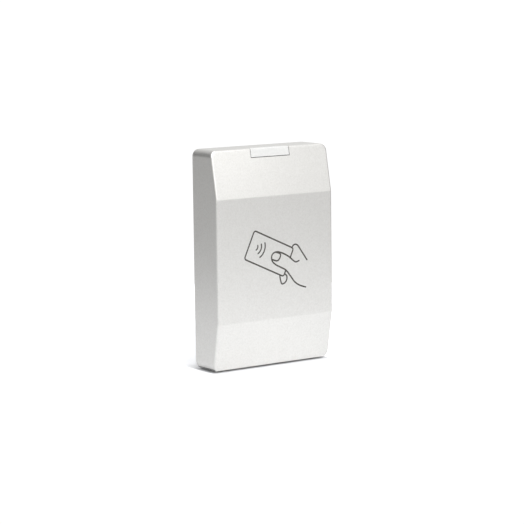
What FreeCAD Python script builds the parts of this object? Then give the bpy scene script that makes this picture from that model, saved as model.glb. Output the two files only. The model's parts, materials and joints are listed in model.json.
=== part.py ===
import FreeCAD, Part
import math
import os
import re
import Sketcher

# An RFID card reader that hooks on to a plate screwed to the wall.
# Frame: X to the right, Y from the reader's front to the wall, Z up; millimetres.
# The origin is the middle of the footprint that the reader stands or hangs over.

# Driving dimensions: alias, value, meaning.
DIMENSIONS = [
    ("width", 76.3, "housing, left to right"),
    ("height", 120.0, "housing, bottom to top"),
    ("housing_depth", 23.0, "housing, front to rim"),
    ("wall_gap", 0.4, "rim to the wall"),
    ("recess", 5.0, "how far each slope falls back at its end"),
    ("slope_height", 26.0, "height that the upper slope takes up"),
    ("low_slope_height", 26.8, "height that the lower slope takes up"),
    ("wall", 2.4, "housing's wall thickness"),
    ("corner_radius", 4.0, "housing's top corners, seen from the front"),
    ("foot_radius", 5.0, "housing's bottom corners, seen from the front"),
    ("bend_radius", 3.0, "bend between a slope and the flat front"),
    ("front_round", 1.1, "rounding round the front's edge"),
    ("rim_chamfer", 0.5, "chamfer round the rim"),
    ("relief_depth", 4.0, "relief under the bottom's front edge, front to back"),
    ("relief_rise", 1.2, "height of that relief at the front edge"),
    ("lens_width", 25.6, "notch for the status lens, left to right"),
    ("lens_height", 5.1, "the notch, down from the top edge"),
    ("lens_back", -4.3, "Y of the lens's back face"),
    ("lens_gap", 0.35, "shadow gap between the lens and the notch"),
    ("guide_width", 22.0, "light guide, left to right"),
    ("guide_height", 6.0, "light guide, bottom to top"),
    ("guide_depth", 2.4, "light guide, front to back"),
    ("guide_top", 3.5, "light guide's top, below the housing's top"),
    ("board_width", 66.0, "circuit board, left to right"),
    ("board_low", 7.0, "Z of the board's bottom edge"),
    ("board_high", 114.5, "Z of the board's top edge"),
    ("board_thick", 1.6, "circuit board's thickness"),
    ("board_rear", 1.0, "Y of the board's rear face"),
    ("cover_front", 2.9, "Y of the rear cover's front face"),
    ("cover_thick", 1.6, "rear cover's thickness"),
    ("cover_gap", 0.3, "rear cover to the housing's inner wall"),
    ("cover_radius", 2.3, "rear cover's corners"),
    ("shelf_width", 1.8, "ledge that the gasket lies on"),
    ("shelf_thick", 1.5, "the ledge's thickness"),
    ("gasket_thick", 0.8, "gasket, compressed"),
    ("boss_diameter", 5.5, "screw bosses"),
    ("pilot_diameter", 2.2, "pilot holes in the bosses"),
    ("pilot_depth", 6.5, "pilot holes' depth"),
    ("clearance_hole", 2.5, "holes that the small screws pass through"),
    ("cover_screw_inset", 6.1, "cover screws, in from the housing's sides"),
    ("cover_screw_low", 7.4, "Z of the lower cover screws"),
    ("cover_screw_high", 112.6, "Z of the upper cover screws"),
    ("board_screw_side", 28.5, "board screws, out from the middle"),
    ("board_screw_low", 29.0, "Z of the lower board screws"),
    ("board_screw_high", 103.0, "Z of the upper board screws"),
    ("screw_shank", 2.1, "small screws' shank"),
    ("screw_reach", 7.5, "small screws' shank length"),
    ("screw_head", 4.2, "small screws' head diameter"),
    ("head_thick", 1.3, "small screws' head height"),
    ("cross_width", 0.7, "width of a cross recess"),
    ("cross_length", 2.4, "length of a cross recess"),
    ("cross_depth", 0.8, "depth of a cross recess"),
    ("coil_width", 54.0, "antenna coil, left to right"),
    ("coil_height", 56.0, "antenna coil, bottom to top"),
    ("coil_band", 4.0, "width of the coil's winding"),
    ("coil_thick", 2.4, "thickness of the coil's winding"),
    ("coil_middle", 67.0, "Z of the coil's middle"),
    ("coil_radius", 9.0, "coil's outer corners"),
    ("plate_thick", 2.2, "mounting plate"),
    ("plate_side", 0.4, "mounting plate to the housing's inner wall, each side"),
    ("plate_low", 3.0, "Z of the plate's bottom edge"),
    ("plate_high", 116.8, "Z of the plate's top edge"),
    ("plate_radius", 2.6, "plate's corners"),
    ("plate_chamfer", 0.4, "chamfer round the plate's wall face"),
    ("hook_axis_y", 9.4, "Y of the hooks' axis"),
    ("hook_axis_z", 117.9, "Z of the hooks' axis"),
    ("hook_radius", 0.8, "round head of a hook"),
    ("groove_radius", 0.86, "groove that the hook's head turns in"),
    ("hook_neck", 1.2, "thickness of a hook's neck"),
    ("hook_width", 12.0, "hook, left to right"),
    ("hook_side", 20.0, "hooks, out from the middle"),
    ("hook_root", 2.2, "height of a hook's root on the plate"),
    ("groove_width", 12.6, "groove, left to right"),
    ("tab_width", 12.0, "lock tab, left to right"),
    ("tab_height", 5.6, "lock tab, bottom to top"),
    ("tab_reach", 4.6, "lock tab, forward from the plate"),
    ("lock_axis_y", 8.0, "Y of the lock screw's axis"),
    ("insert_diameter", 4.2, "brass insert"),
    ("insert_bore", 3.0, "bore of the brass insert"),
    ("insert_height", 4.0, "brass insert's length"),
    ("insert_groove", 0.3, "depth of the groove round the insert"),
    ("tip_hole_depth", 0.8, "hole past the insert for the screw's tip"),
    ("lock_shank", 2.9, "lock screw's shank"),
    ("lock_head", 5.5, "lock screw's head diameter"),
    ("lock_head_thick", 1.3, "lock screw's head height"),
    ("lock_head_round", 0.4, "rounding of the lock screw's head"),
    ("lock_head_low", 0.1, "Z of the lock screw's lowest point"),
    ("lock_tip", 7.3, "Z of the lock screw's tip"),
    ("lock_socket", 2.5, "lock screw's hexagon socket, across flats"),
    ("lock_socket_depth", 0.8, "the socket's depth"),
    ("shank_slot", 3.6, "slot in the housing's bottom for the shank"),
    ("head_slot", 6.3, "slot in the housing's bottom for the head"),
    ("head_slot_depth", 1.5, "depth of the head's slot"),
    ("box_spacing", 60.0, "wall box screws, centre to centre across"),
    ("gang_spacing", 83.3, "gang box screws, centre to centre up"),
    ("slot_width", 4.2, "screw slots in the plate"),
    ("slot_length", 8.0, "screw slots in the plate, end to end"),
    ("window_width", 30.0, "cable window in the plate"),
    ("window_height", 16.0, "cable window in the plate"),
    ("window_low", 26.0, "Z of the cable window's bottom edge"),
    ("connector_width", 22.4, "wire connector, left to right"),
    ("connector_height", 5.8, "wire connector, bottom to top"),
    ("connector_reach", 7.0, "wire connector, out from the board"),
    ("connector_wall", 0.8, "wire connector's wall"),
    ("connector_floor", 1.6, "wire connector's floor"),
    ("connector_z", 34.0, "Z of the connector's middle"),
    ("connector_clear", 0.5, "gap round the connector in the cover"),
    ("pin_pitch", 2.5, "connector pins, centre to centre"),
    ("pin_side", 0.64, "connector pins, square"),
    ("pin_hole", 0.7, "square holes for the pins"),
    ("pin_reach", 5.4, "pins, out from the board's rear face"),
    ("pin_tail", 1.0, "pins, out from the board's front face"),
    ("tamper_x", -14.0, "X of the tamper switch"),
    ("tamper_z", 110.0, "Z of the tamper switch"),
    ("tamper_side", 6.0, "tamper switch's body, square"),
    ("tamper_reach", 5.2, "tamper switch's body, out from the board"),
    ("tamper_floor", 0.6, "floor of the tamper switch's bore"),
    ("tamper_neck", 0.95, "lip that keeps the plunger in"),
    ("tamper_bore", 3.9, "bore of the tamper switch"),
    ("neck_bore", 2.6, "hole in the lip"),
    ("tamper_clear", 0.4, "gap round the tamper switch in the cover"),
    ("plunger_diameter", 2.5, "plunger's stem"),
    ("plunger_flange", 3.75, "plunger's flange"),
    ("flange_thick", 0.5, "thickness of the flange"),
    ("flange_front", 2.6, "Y of the flange's front face, pressed in"),
    ("plunger_tip", 9.4, "Y of the plunger's tip, pressed in"),
    ("plunger_round", 1.1, "rounding of the plunger's tip"),
    ("spring_radius", 1.3, "spring's mean radius"),
    ("spring_wire", 0.18, "spring's wire"),
    ("spring_pitch", 0.26, "spring's pitch, pressed in"),
    ("spring_height", 0.78, "spring's height between wire centres"),
    ("buzzer_diameter", 12.0, "buzzer"),
    ("buzzer_height", 5.2, "buzzer's height"),
    ("buzzer_round", 0.3, "rounding of the buzzer's edge"),
    ("buzzer_hole", 2.0, "buzzer's sound hole"),
    ("buzzer_x", 20.0, "X of the buzzer"),
    ("buzzer_z", 17.0, "Z of the buzzer"),
    ("reader_side", 7.0, "reader chip, square"),
    ("reader_x", -14.0, "X of the reader chip"),
    ("reader_z", 31.0, "Z of the reader chip"),
    ("micro_side", 7.0, "microcontroller, square"),
    ("micro_x", 6.0, "X of the microcontroller"),
    ("micro_z", 20.0, "Z of the microcontroller"),
    ("chip_height", 1.2, "chips' height off the board"),
    ("chip_standoff", 0.1, "gap under a chip"),
    ("lead_pitch", 0.8, "chip leads, centre to centre"),
    ("lead_width", 0.3, "chip leads' width"),
    ("lead_reach", 0.9, "chip leads, out from the chip"),
    ("lead_thick", 0.2, "chip leads' thickness"),
    ("lead_rise", 0.7, "height at which a lead leaves the chip"),
    ("crystal_length", 5.0, "crystal"),
    ("crystal_width", 3.2, "crystal"),
    ("crystal_height", 0.9, "crystal"),
    ("crystal_round", 0.6, "crystal's corners"),
    ("regulator_length", 6.5, "voltage regulator's moulding"),
    ("regulator_width", 3.5, "voltage regulator's moulding"),
    ("regulator_height", 1.6, "voltage regulator's height"),
    ("regulator_x", -24.0, "X of the voltage regulator"),
    ("regulator_z", 12.5, "Z of the voltage regulator"),
    ("capacitor_diameter", 6.3, "bulk capacitors' cans"),
    ("capacitor_height", 4.6, "bulk capacitors' height"),
    ("capacitor_base", 6.6, "bulk capacitors' square base"),
    ("base_thick", 0.9, "thickness of that base"),
    ("capacitor_x", -13.0, "X of the first bulk capacitor"),
    ("capacitor_z", 14.5, "Z of the bulk capacitors"),
    ("capacitor_pitch", 8.2, "bulk capacitors, centre to centre"),
    ("inductor_side", 7.3, "power inductor, square"),
    ("inductor_height", 3.4, "power inductor's height"),
    ("inductor_x", -24.0, "X of the power inductor"),
    ("inductor_z", 21.0, "Z of the power inductor"),
    ("inductor_round", 1.5, "power inductor's corners"),
    ("suppressor_length", 4.4, "surge suppressors"),
    ("suppressor_width", 3.0, "surge suppressors"),
    ("suppressor_height", 2.2, "surge suppressors"),
    ("suppressor_x", 17.0, "X of the first surge suppressor"),
    ("suppressor_z", 34.0, "Z of the surge suppressors"),
    ("suppressor_pitch", 4.0, "surge suppressors, centre to centre"),
    ("led_length", 3.5, "status LEDs"),
    ("led_width", 2.8, "status LEDs"),
    ("led_height", 1.1, "status LEDs"),
    ("led_z", 112.4, "Z of the status LEDs"),
    ("led_pitch", 7.5, "status LEDs, centre to centre"),
    ("led_well", 2.2, "round well in a LED"),
    ("led_well_depth", 0.4, "depth of that well"),
    ("resistor_length", 1.6, "chip resistors"),
    ("resistor_width", 0.8, "chip resistors"),
    ("resistor_height", 0.45, "chip resistors"),
    ("ceramic_length", 2.0, "chip capacitors"),
    ("ceramic_width", 1.25, "chip capacitors"),
    ("ceramic_height", 0.85, "chip capacitors"),
    ("lead_wire", 0.6, "coil leads' diameter"),
    ("lead_wire_length", 2.4, "coil leads' length"),
    ("lead_wire_side", 2.5, "coil leads, out from the middle"),
]

# Planes that recur through the depth of the reader, as expressions on the sheet.
FRONT = "(0 - (housing_depth + wall_gap) / 2)"
RIM = "((housing_depth - wall_gap) / 2)"
WALL_FACE = "((housing_depth + wall_gap) / 2)"
PLATE_FRONT = f"({WALL_FACE} - plate_thick)"
COVER_REAR = "(cover_front + cover_thick)"
SHELF = "(cover_front - gasket_thick)"
BOARD_FRONT = "(board_rear - board_thick)"
INNER_SIDE = "(width / 2 - wall)"
MIDDLE_Z = "(height / 2)"
COVER_SCREW_SIDE = "(width / 2 - cover_screw_inset)"

# An origin plane's role, and the sign that turns a place along its axis into an attachment offset.
# A pad grows the way the plane faces, and a cut goes the other way unless it is told to go on.
FACING_FRONT = ("XZ_Plane", "0 - ")
FACING_RIGHT = ("YZ_Plane", "")
FACING_UP = ("XY_Plane", "")

LEADS_PER_SIDE = 8
PIN_COUNT = 8
TOUCH = 1e-4

doc = FreeCAD.newDocument("card_reader")
sheet = doc.addObject("Spreadsheet::Sheet", "dims")
parts = []


def fill_sheet():
    """Writes the driving dimensions, with an alias for each."""
    for row, (alias, value, meaning) in enumerate(DIMENSIONS, 1):
        sheet.set(f"A{row}", alias)
        sheet.set(f"B{row}", str(value))
        sheet.set(f"C{row}", meaning)
        sheet.setAlias(f"B{row}", alias)
    doc.recompute()


def on_sheet(text):
    """The expression with each alias named as a cell of the sheet."""
    return re.sub(r"[a-z_]{2,}", lambda word: "dims." + word.group(0), text)


def value(text):
    """What an expression on the sheet comes to now."""
    return float(sheet.evalExpression(on_sheet(text)))


def new_body(label):
    """A sub-part that is built from sketches and features."""
    body = doc.addObject("PartDesign::Body", label)
    body.Label = label
    parts.append(body)
    return body


def bound_constraint(made, kind, refs, text):
    """Adds a dimension to a sketch and binds it to the sheet."""
    index = made.addConstraint(Sketcher.Constraint(kind, *refs, value(text)))
    made.setExpression(f"Constraints[{index}]", on_sheet(text))


def pin_down(made, geometry, point, across, up):
    """Fixes a point of a sketch at a distance across and up from the sketch's origin."""
    bound_constraint(made, "DistanceX", (-1, 1, geometry, point), across)
    bound_constraint(made, "DistanceY", (-1, 1, geometry, point), up)


def polygon(made, corners):
    """A closed outline of straight lines through corners given as pairs of expressions."""
    places = [FreeCAD.Vector(value(across), value(up), 0) for across, up in corners]
    first = made.GeometryCount
    count = len(corners)
    for index, place in enumerate(places):
        made.addGeometry(Part.LineSegment(place, places[(index + 1) % count]), False)
    for index, (across, up) in enumerate(corners):
        following = first + (index + 1) % count
        made.addConstraint(Sketcher.Constraint("Coincident", first + index, 2, following, 1))
        pin_down(made, first + index, 1, across, up)


def rectangle(made, left, right, low, high):
    """A rectangle between two places across and two up."""
    polygon(made, [(left, low), (right, low), (right, high), (left, high)])


def centred(made, across, up, wide, tall):
    """A rectangle about a centre."""
    rectangle(
        made,
        f"{across} - ({wide}) / 2",
        f"{across} + ({wide}) / 2",
        f"{up} - ({tall}) / 2",
        f"{up} + ({tall}) / 2",
    )


def circle(made, across, up, diameter):
    """A circle about a centre."""
    centre = FreeCAD.Vector(value(across), value(up), 0)
    index = made.addGeometry(Part.Circle(centre, FreeCAD.Vector(0, 0, 1), value(diameter) / 2), False)
    pin_down(made, index, 3, across, up)
    bound_constraint(made, "Diameter", (index,), diameter)


def slotted_hole(made, across, up, upright):
    """A screw slot about a centre, along the first axis of the sketch or, upright, the second."""
    run = (value("slot_length") - value("slot_width")) / 2
    radius = value("slot_width") / 2
    centre = FreeCAD.Vector(value(across), value(up), 0)
    along = FreeCAD.Vector(0, 1, 0) if upright else FreeCAD.Vector(1, 0, 0)
    aside = FreeCAD.Vector(-along.y, along.x, 0)
    turn = math.pi / 2 if upright else 0
    normal = FreeCAD.Vector(0, 0, 1)
    quarter = math.pi / 2
    far = Part.ArcOfCircle(
        Part.Circle(centre + along * run, normal, radius), turn - quarter, turn + quarter
    )
    near = Part.ArcOfCircle(
        Part.Circle(centre - along * run, normal, radius), turn + quarter, turn + 3 * quarter
    )
    reach = along * run
    offset = aside * radius
    one_side = Part.LineSegment(centre + reach + offset, centre - reach + offset)
    other_side = Part.LineSegment(centre - reach - offset, centre + reach - offset)
    first = made.GeometryCount
    for piece in (far, one_side, near, other_side):
        made.addGeometry(piece, False)
    for index in range(4):
        following = first + (index + 1) % 4
        made.addConstraint(Sketcher.Constraint("Tangent", first + index, 2, following, 1))
    half_run = "(slot_length - slot_width) / 2"
    if upright:
        pin_down(made, first, 3, across, f"{up} + {half_run}")
        pin_down(made, first + 2, 3, across, f"{up} - {half_run}")
    else:
        pin_down(made, first, 3, f"{across} + {half_run}", up)
        pin_down(made, first + 2, 3, f"{across} - {half_run}", up)
    bound_constraint(made, "Diameter", (first,), "slot_width")


def open_slot(made, centre_y, end_y, width):
    """A slot along the sketch's second axis with one round end, open at the other."""
    radius = value(width) / 2
    middle = value(centre_y)
    end = value(end_y)
    round_end = Part.ArcOfCircle(
        Part.Circle(FreeCAD.Vector(0, middle, 0), FreeCAD.Vector(0, 0, 1), radius), math.pi, 2 * math.pi
    )
    corners = [
        FreeCAD.Vector(radius, middle, 0),
        FreeCAD.Vector(radius, end, 0),
        FreeCAD.Vector(-radius, end, 0),
        FreeCAD.Vector(-radius, middle, 0),
    ]
    made.addGeometry(round_end, False)
    for start, stop in zip(corners, corners[1:]):
        made.addGeometry(Part.LineSegment(start, stop), False)
    made.addConstraint(Sketcher.Constraint("Tangent", 0, 2, 1, 1))
    made.addConstraint(Sketcher.Constraint("Coincident", 1, 2, 2, 1))
    made.addConstraint(Sketcher.Constraint("Coincident", 2, 2, 3, 1))
    made.addConstraint(Sketcher.Constraint("Tangent", 3, 2, 0, 1))
    pin_down(made, 0, 3, "0", centre_y)
    bound_constraint(made, "Diameter", (0,), width)
    bound_constraint(made, "DistanceY", (-1, 1, 2, 1), end_y)
    made.addConstraint(Sketcher.Constraint("Horizontal", 2))


def draw(body, name, plane, place, outline):
    """A sketch parallel to an origin plane of the body, at a place along that plane's axis."""
    role, sign = plane
    support = next(item for item in body.Origin.OriginFeatures if item.Role == role)
    made = body.newObject("Sketcher::SketchObject", name + "_sketch")
    made.AttachmentSupport = (support, [""])
    made.MapMode = "FlatFace"
    made.setExpression("AttachmentOffset.Base.z", on_sheet(f"{sign}({place})"))
    outline(made)
    return made


def pad(body, name, plane, place, length, outline):
    """Adds material from a sketch, the way its plane faces."""
    feature = body.newObject("PartDesign::Pad", name)
    feature.Profile = draw(body, name, plane, place, outline)
    feature.setExpression("Length", on_sheet(length))
    body.Tip = feature
    doc.recompute()
    return feature


def cut(body, name, plane, place, depth, outline, onward=False):
    """Takes material away behind a sketch or, onward, in front of it."""
    before = body.Shape.Volume
    feature = body.newObject("PartDesign::Pocket", name)
    feature.Profile = draw(body, name, plane, place, outline)
    feature.setExpression("Length", on_sheet(depth))
    feature.Reversed = onward
    body.Tip = feature
    doc.recompute()
    if not body.Shape.Volume < before - TOUCH:
        raise RuntimeError(f"{body.Label}: {name} cuts nothing")
    return feature


def dress(body, kind, name, edges, size):
    """A fillet or chamfer on edges of the body's last shape."""
    base = body.Tip
    names = [f"Edge{index}" for index, edge in enumerate(base.Shape.Edges, 1) if edges(edge)]
    feature = body.newObject(f"PartDesign::{kind}", name)
    feature.Base = (base, names)
    feature.setExpression("Radius" if kind == "Fillet" else "Size", on_sheet(size))
    body.Tip = feature
    doc.recompute()
    return feature


def runs_along(edge, axis):
    """Whether an edge is a straight line along one axis."""
    if edge.Curve.TypeId != "Part::GeomLine":
        return False
    direction = edge.Vertexes[1].Point - edge.Vertexes[0].Point
    return abs(abs(direction.dot(axis)) - direction.Length) < TOUCH


def middle_of(edge):
    """The point half-way along an edge."""
    return edge.valueAt((edge.FirstParameter + edge.LastParameter) / 2)


ALONG_X = FreeCAD.Vector(1, 0, 0)
ALONG_Y = FreeCAD.Vector(0, 1, 0)


def is_depth_edge(edge):
    """Whether an edge runs from front to back."""
    return runs_along(edge, ALONG_Y)


def is_edge_of(faces):
    """A test for edges that bound exactly one of these faces."""
    bounds = [edge for face in faces for edge in face.Edges]

    def test(edge):
        return sum(edge.isSame(bound) for bound in bounds) == 1

    return test


def outline_of_face_at(body, place):
    """A test for the outer edges of the body's flat face at a place along Y."""
    face = next(item for item in body.Tip.Shape.Faces if abs(item.CenterOfMass.y - place) < TOUCH)
    bounds = face.OuterWire.Edges
    return lambda edge: any(edge.isSame(bound) for bound in bounds)


def faces_looking(shape, axis):
    """Faces whose outward normal is mostly along an axis."""
    found = []
    for face in shape.Faces:
        low_u, high_u, low_v, high_v = face.ParameterRange
        if face.normalAt((low_u + high_u) / 2, (low_v + high_v) / 2).dot(axis) > 0.5:
            found.append(face)
    return found


def slope_front(height_text):
    """Y of the upper slope's outer face at a height, as an expression."""
    return f"({FRONT} + recess * ({height_text} - height + slope_height) / slope_height)"


def lower_slope_front(height_text):
    """Y of the lower slope's outer face at a height, as an expression."""
    return f"({FRONT} + recess * (low_slope_height - {height_text}) / low_slope_height)"


def four_places(side, low, high):
    """The four corners of a rectangle about X = 0."""
    return [(f"{sign}({side})", up) for up in (low, high) for sign in ("0 - ", "")]


def circles_at(places, diameter):
    """An outline of equal circles."""

    def outline(made):
        for across, up in places:
            circle(made, across, up, diameter)

    return outline


def blocks_at(places, wide, tall):
    """An outline of equal rectangles."""

    def outline(made):
        for across, up in places:
            centred(made, across, up, wide, tall)

    return outline


COVER_SCREWS = four_places(COVER_SCREW_SIDE, "cover_screw_low", "cover_screw_high")
BOARD_SCREWS = four_places("board_screw_side", "board_screw_low", "board_screw_high")


def housing_form(body):
    """The housing's hollow form: one side profile drawn across, rounded and shelled."""
    profile = [
        (f"{FRONT} + recess", "0"),
        (RIM, "0"),
        (RIM, "height"),
        (f"{FRONT} + recess", "height"),
        (FRONT, "height - slope_height"),
        (FRONT, "low_slope_height"),
    ]
    pad(body, "form", FACING_RIGHT, "0 - width / 2", "width", lambda made: polygon(made, profile))
    middle = value(MIDDLE_Z)
    top_corners = lambda edge: is_depth_edge(edge) and middle_of(edge).z > middle
    bottom_corners = lambda edge: is_depth_edge(edge) and middle_of(edge).z < middle
    dress(body, "Fillet", "top_corners", top_corners, "corner_radius")
    dress(body, "Fillet", "bottom_corners", bottom_corners, "foot_radius")
    front = value(FRONT)
    bends = lambda edge: runs_along(edge, ALONG_X) and abs(middle_of(edge).y - front) < TOUCH
    dress(body, "Fillet", "bends", bends, "bend_radius")

    rim = value(RIM)
    back = next(
        index for index, face in enumerate(body.Shape.Faces, 1) if abs(face.CenterOfMass.y - rim) < TOUCH
    )
    form = body.Tip
    shell = body.newObject("PartDesign::Thickness", "shell")
    shell.Base = (form, [f"Face{back}"])
    shell.setExpression("Value", on_sheet("wall"))
    shell.Reversed = True
    body.Tip = shell
    doc.recompute()

    outer_front = is_edge_of(faces_looking(body.Tip.Shape, FreeCAD.Vector(0, -1, 0)))
    dress(body, "Fillet", "front_edge", outer_front, "front_round")
    dress(body, "Chamfer", "rim_edge", outline_of_face_at(body, rim), "rim_chamfer")

    edge = f"{FRONT} + recess"
    relief = [
        (f"{edge} + relief_depth", "0"),
        (f"{edge} - relief_depth", "2 * relief_rise"),
        (f"{edge} - relief_depth", "0 - relief_rise"),
        (f"{edge} + relief_depth", "0 - relief_rise"),
    ]
    cut(body, "base_relief", FACING_RIGHT, "width / 2", "width", lambda made: polygon(made, relief))


def build_front_housing():
    """Painted shell: the sloped front, four walls, ledge, bosses, lens notch, grooves and lock slot."""
    body = new_body("front_housing")
    housing_form(body)

    def ledge(made):
        centred(made, "0", MIDDLE_Z, "width - 3 * wall / 2", "height - 3 * wall / 2")
        inset = "2 * (wall + shelf_width)"
        centred(made, "0", MIDDLE_Z, f"width - {inset}", f"height - {inset}")

    pad(body, "gasket_ledge", FACING_FRONT, SHELF, "shelf_thick", ledge)

    rows = [
        ("board_low_boss", BOARD_SCREWS[:2], BOARD_FRONT, f"{FRONT} + wall / 2"),
        ("board_high_boss", BOARD_SCREWS[2:], BOARD_FRONT, f"{slope_front('board_screw_high')} + wall / 2"),
        ("cover_low_boss", COVER_SCREWS[:2], SHELF, f"{lower_slope_front('cover_screw_low')} + wall / 2"),
        ("cover_high_boss", COVER_SCREWS[2:], SHELF, f"{slope_front('cover_screw_high')} + wall / 2"),
    ]
    for name, places, top, root in rows:
        pad(body, name, FACING_FRONT, top, f"{top} - ({root})", circles_at(places, "boss_diameter"))
    for name, places, top in (("board", BOARD_SCREWS, BOARD_FRONT), ("cover", COVER_SCREWS, SHELF)):
        holes = circles_at(places, "pilot_diameter")
        cut(body, name + "_pilot", FACING_FRONT, top, "pilot_depth", holes, onward=True)

    def notch(made):
        rectangle(made, "0 - lens_width / 2", "lens_width / 2", "height - lens_height", "height + wall")

    cut(body, "lens_notch", FACING_FRONT, FRONT, f"lens_back - {FRONT}", notch)

    for side, sign in (("left", "0 - hook_side"), ("right", "hook_side")):
        groove = lambda made: circle(made, "hook_axis_y", "hook_axis_z", "2 * groove_radius")
        cut(body, f"{side}_groove", FACING_RIGHT, f"{sign} + groove_width / 2", "groove_width", groove)

    past_rim = f"{RIM} + wall"
    shank = lambda made: open_slot(made, "lock_axis_y", past_rim, "shank_slot")
    cut(body, "shank_slot", FACING_UP, "wall", "wall", shank)
    head = lambda made: open_slot(made, "lock_axis_y", past_rim, "head_slot")
    cut(body, "head_slot", FACING_UP, "head_slot_depth", "head_slot_depth", head)


def build_status_lens():
    """Frosted bar that fills the notch and follows the slope."""
    body = new_body("status_lens")
    low = "(height - lens_height + lens_gap)"
    profile = [
        (slope_front(low), low),
        ("lens_back", low),
        ("lens_back", "height"),
        (f"{FRONT} + recess", "height"),
    ]
    span = "lens_width - 2 * lens_gap"
    pad(body, "bar", FACING_RIGHT, f"0 - ({span}) / 2", span, lambda made: polygon(made, profile))
    top = value("height")
    edge_y = value(f"{FRONT} + recess")
    front_edge = lambda edge: runs_along(edge, ALONG_X) and (
        middle_of(edge) - FreeCAD.Vector(0, edge_y, top)
    ).Length < TOUCH
    dress(body, "Fillet", "front_edge", front_edge, "front_round")


def build_light_guide():
    """Clear bar that carries the LEDs' light to the lens."""
    body = new_body("light_guide")
    middle = "(height - guide_top - guide_height / 2)"
    outline = blocks_at([("0", middle)], "guide_width", "guide_height")
    pad(body, "bar", FACING_FRONT, "lens_back + guide_depth", "guide_depth", outline)


def build_rear_cover():
    """Flat cover that closes the electronics in, with openings for the connector and the switch."""
    body = new_body("rear_cover")
    inset = "2 * (wall + cover_gap)"
    sheet_outline = blocks_at([("0", MIDDLE_Z)], f"width - {inset}", f"height - {inset}")
    pad(body, "panel", FACING_FRONT, COVER_REAR, "cover_thick", sheet_outline)
    dress(body, "Fillet", "corners", is_depth_edge, "cover_radius")
    openings = [
        ("connector_opening", "0", "connector_z", "connector_width", "connector_height", "connector_clear"),
        ("tamper_opening", "tamper_x", "tamper_z", "tamper_side", "tamper_side", "tamper_clear"),
    ]
    for name, across, up, wide, tall, clear in openings:
        outline = blocks_at([(across, up)], f"{wide} + 2 * {clear}", f"{tall} + 2 * {clear}")
        cut(body, name, FACING_FRONT, "cover_front", "cover_thick", outline)
    holes = circles_at(COVER_SCREWS, "clearance_hole")
    cut(body, "screw_holes", FACING_FRONT, "cover_front", "cover_thick", holes)


def build_cover_gasket():
    """Flat ring with an eye round each cover screw."""
    body = new_body("cover_gasket")

    def ring(made):
        outer = "2 * (wall + cover_gap)"
        inner = "2 * (wall + shelf_width)"
        centred(made, "0", MIDDLE_Z, f"width - {outer}", f"height - {outer}")
        centred(made, "0", MIDDLE_Z, f"width - {inner}", f"height - {inner}")

    pad(body, "ring", FACING_FRONT, "cover_front", "gasket_thick", ring)
    outer_side = value("width / 2 - wall - cover_gap")
    outer = lambda edge: is_depth_edge(edge) and abs(abs(middle_of(edge).x) - outer_side) < TOUCH
    dress(body, "Fillet", "corners", outer, "cover_radius")
    eyes = circles_at(COVER_SCREWS, "boss_diameter")
    pad(body, "eyes", FACING_FRONT, "cover_front", "gasket_thick", eyes)
    holes = circles_at(COVER_SCREWS, "clearance_hole")
    cut(body, "holes", FACING_FRONT, SHELF, "gasket_thick", holes)


def build_small_screws(label, places, seat):
    """Pan-head screws whose heads sit behind a face, with cross recesses."""
    body = new_body(label)
    back = f"{seat} + head_thick"
    pad(body, "heads", FACING_FRONT, back, "head_thick", circles_at(places, "screw_head"))
    pad(body, "shanks", FACING_FRONT, seat, "screw_reach", circles_at(places, "screw_shank"))
    bars = (("across", "cross_length", "cross_width"), ("upright", "cross_width", "cross_length"))
    for name, wide, tall in bars:
        bar = blocks_at(places, wide, tall)
        cut(body, "cross_" + name, FACING_FRONT, f"{back} - cross_depth", "cross_depth", bar)


def pin_places():
    """Centres of the connector's pins."""
    start = (PIN_COUNT - 1) / 2
    return [(f"{index - start} * pin_pitch", "connector_z") for index in range(PIN_COUNT)]


def build_circuit_board():
    """Board with its corners cut round the cover bosses, and holes for screws and pins."""
    body = new_body("circuit_board")
    panel = lambda made: rectangle(
        made, "0 - board_width / 2", "board_width / 2", "board_low", "board_high"
    )
    pad(body, "panel", FACING_FRONT, "board_rear", "board_thick", panel)
    corners = circles_at(COVER_SCREWS, "boss_diameter + 2 * cover_gap")
    cut(body, "boss_clearance", FACING_FRONT, BOARD_FRONT, "board_thick", corners)
    holes = circles_at(BOARD_SCREWS, "clearance_hole")
    cut(body, "screw_holes", FACING_FRONT, BOARD_FRONT, "board_thick", holes)
    pins = blocks_at(pin_places(), "pin_hole", "pin_hole")
    cut(body, "pin_holes", FACING_FRONT, BOARD_FRONT, "board_thick", pins)


def build_antenna_coil():
    """Flat winding with rounded corners, glued to the front of the board."""
    body = new_body("antenna_coil")

    def band(made):
        centred(made, "0", "coil_middle", "coil_width", "coil_height")
        inner = "2 * coil_band"
        centred(made, "0", "coil_middle", f"coil_width - {inner}", f"coil_height - {inner}")

    pad(body, "winding", FACING_FRONT, BOARD_FRONT, "coil_thick", band)
    outer_side = value("coil_width / 2")
    outer = lambda edge: is_depth_edge(edge) and abs(abs(middle_of(edge).x) - outer_side) < TOUCH
    dress(body, "Fillet", "outer_corners", outer, "coil_radius")
    inner_side = value("coil_width / 2 - coil_band")
    inner = lambda edge: is_depth_edge(edge) and abs(abs(middle_of(edge).x) - inner_side) < TOUCH
    dress(body, "Fillet", "inner_corners", inner, "coil_radius - coil_band")


def build_coil_leads():
    """The winding's two ends, down the board from the coil."""
    body = new_body("coil_leads")
    low = "coil_middle - coil_height / 2 - lead_wire_length"

    def ends(made):
        for sign in ("0 - ", ""):
            circle(made, f"{sign}lead_wire_side", f"{BOARD_FRONT} - lead_wire", "lead_wire")

    pad(body, "wires", FACING_UP, low, "lead_wire_length", ends)


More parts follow.
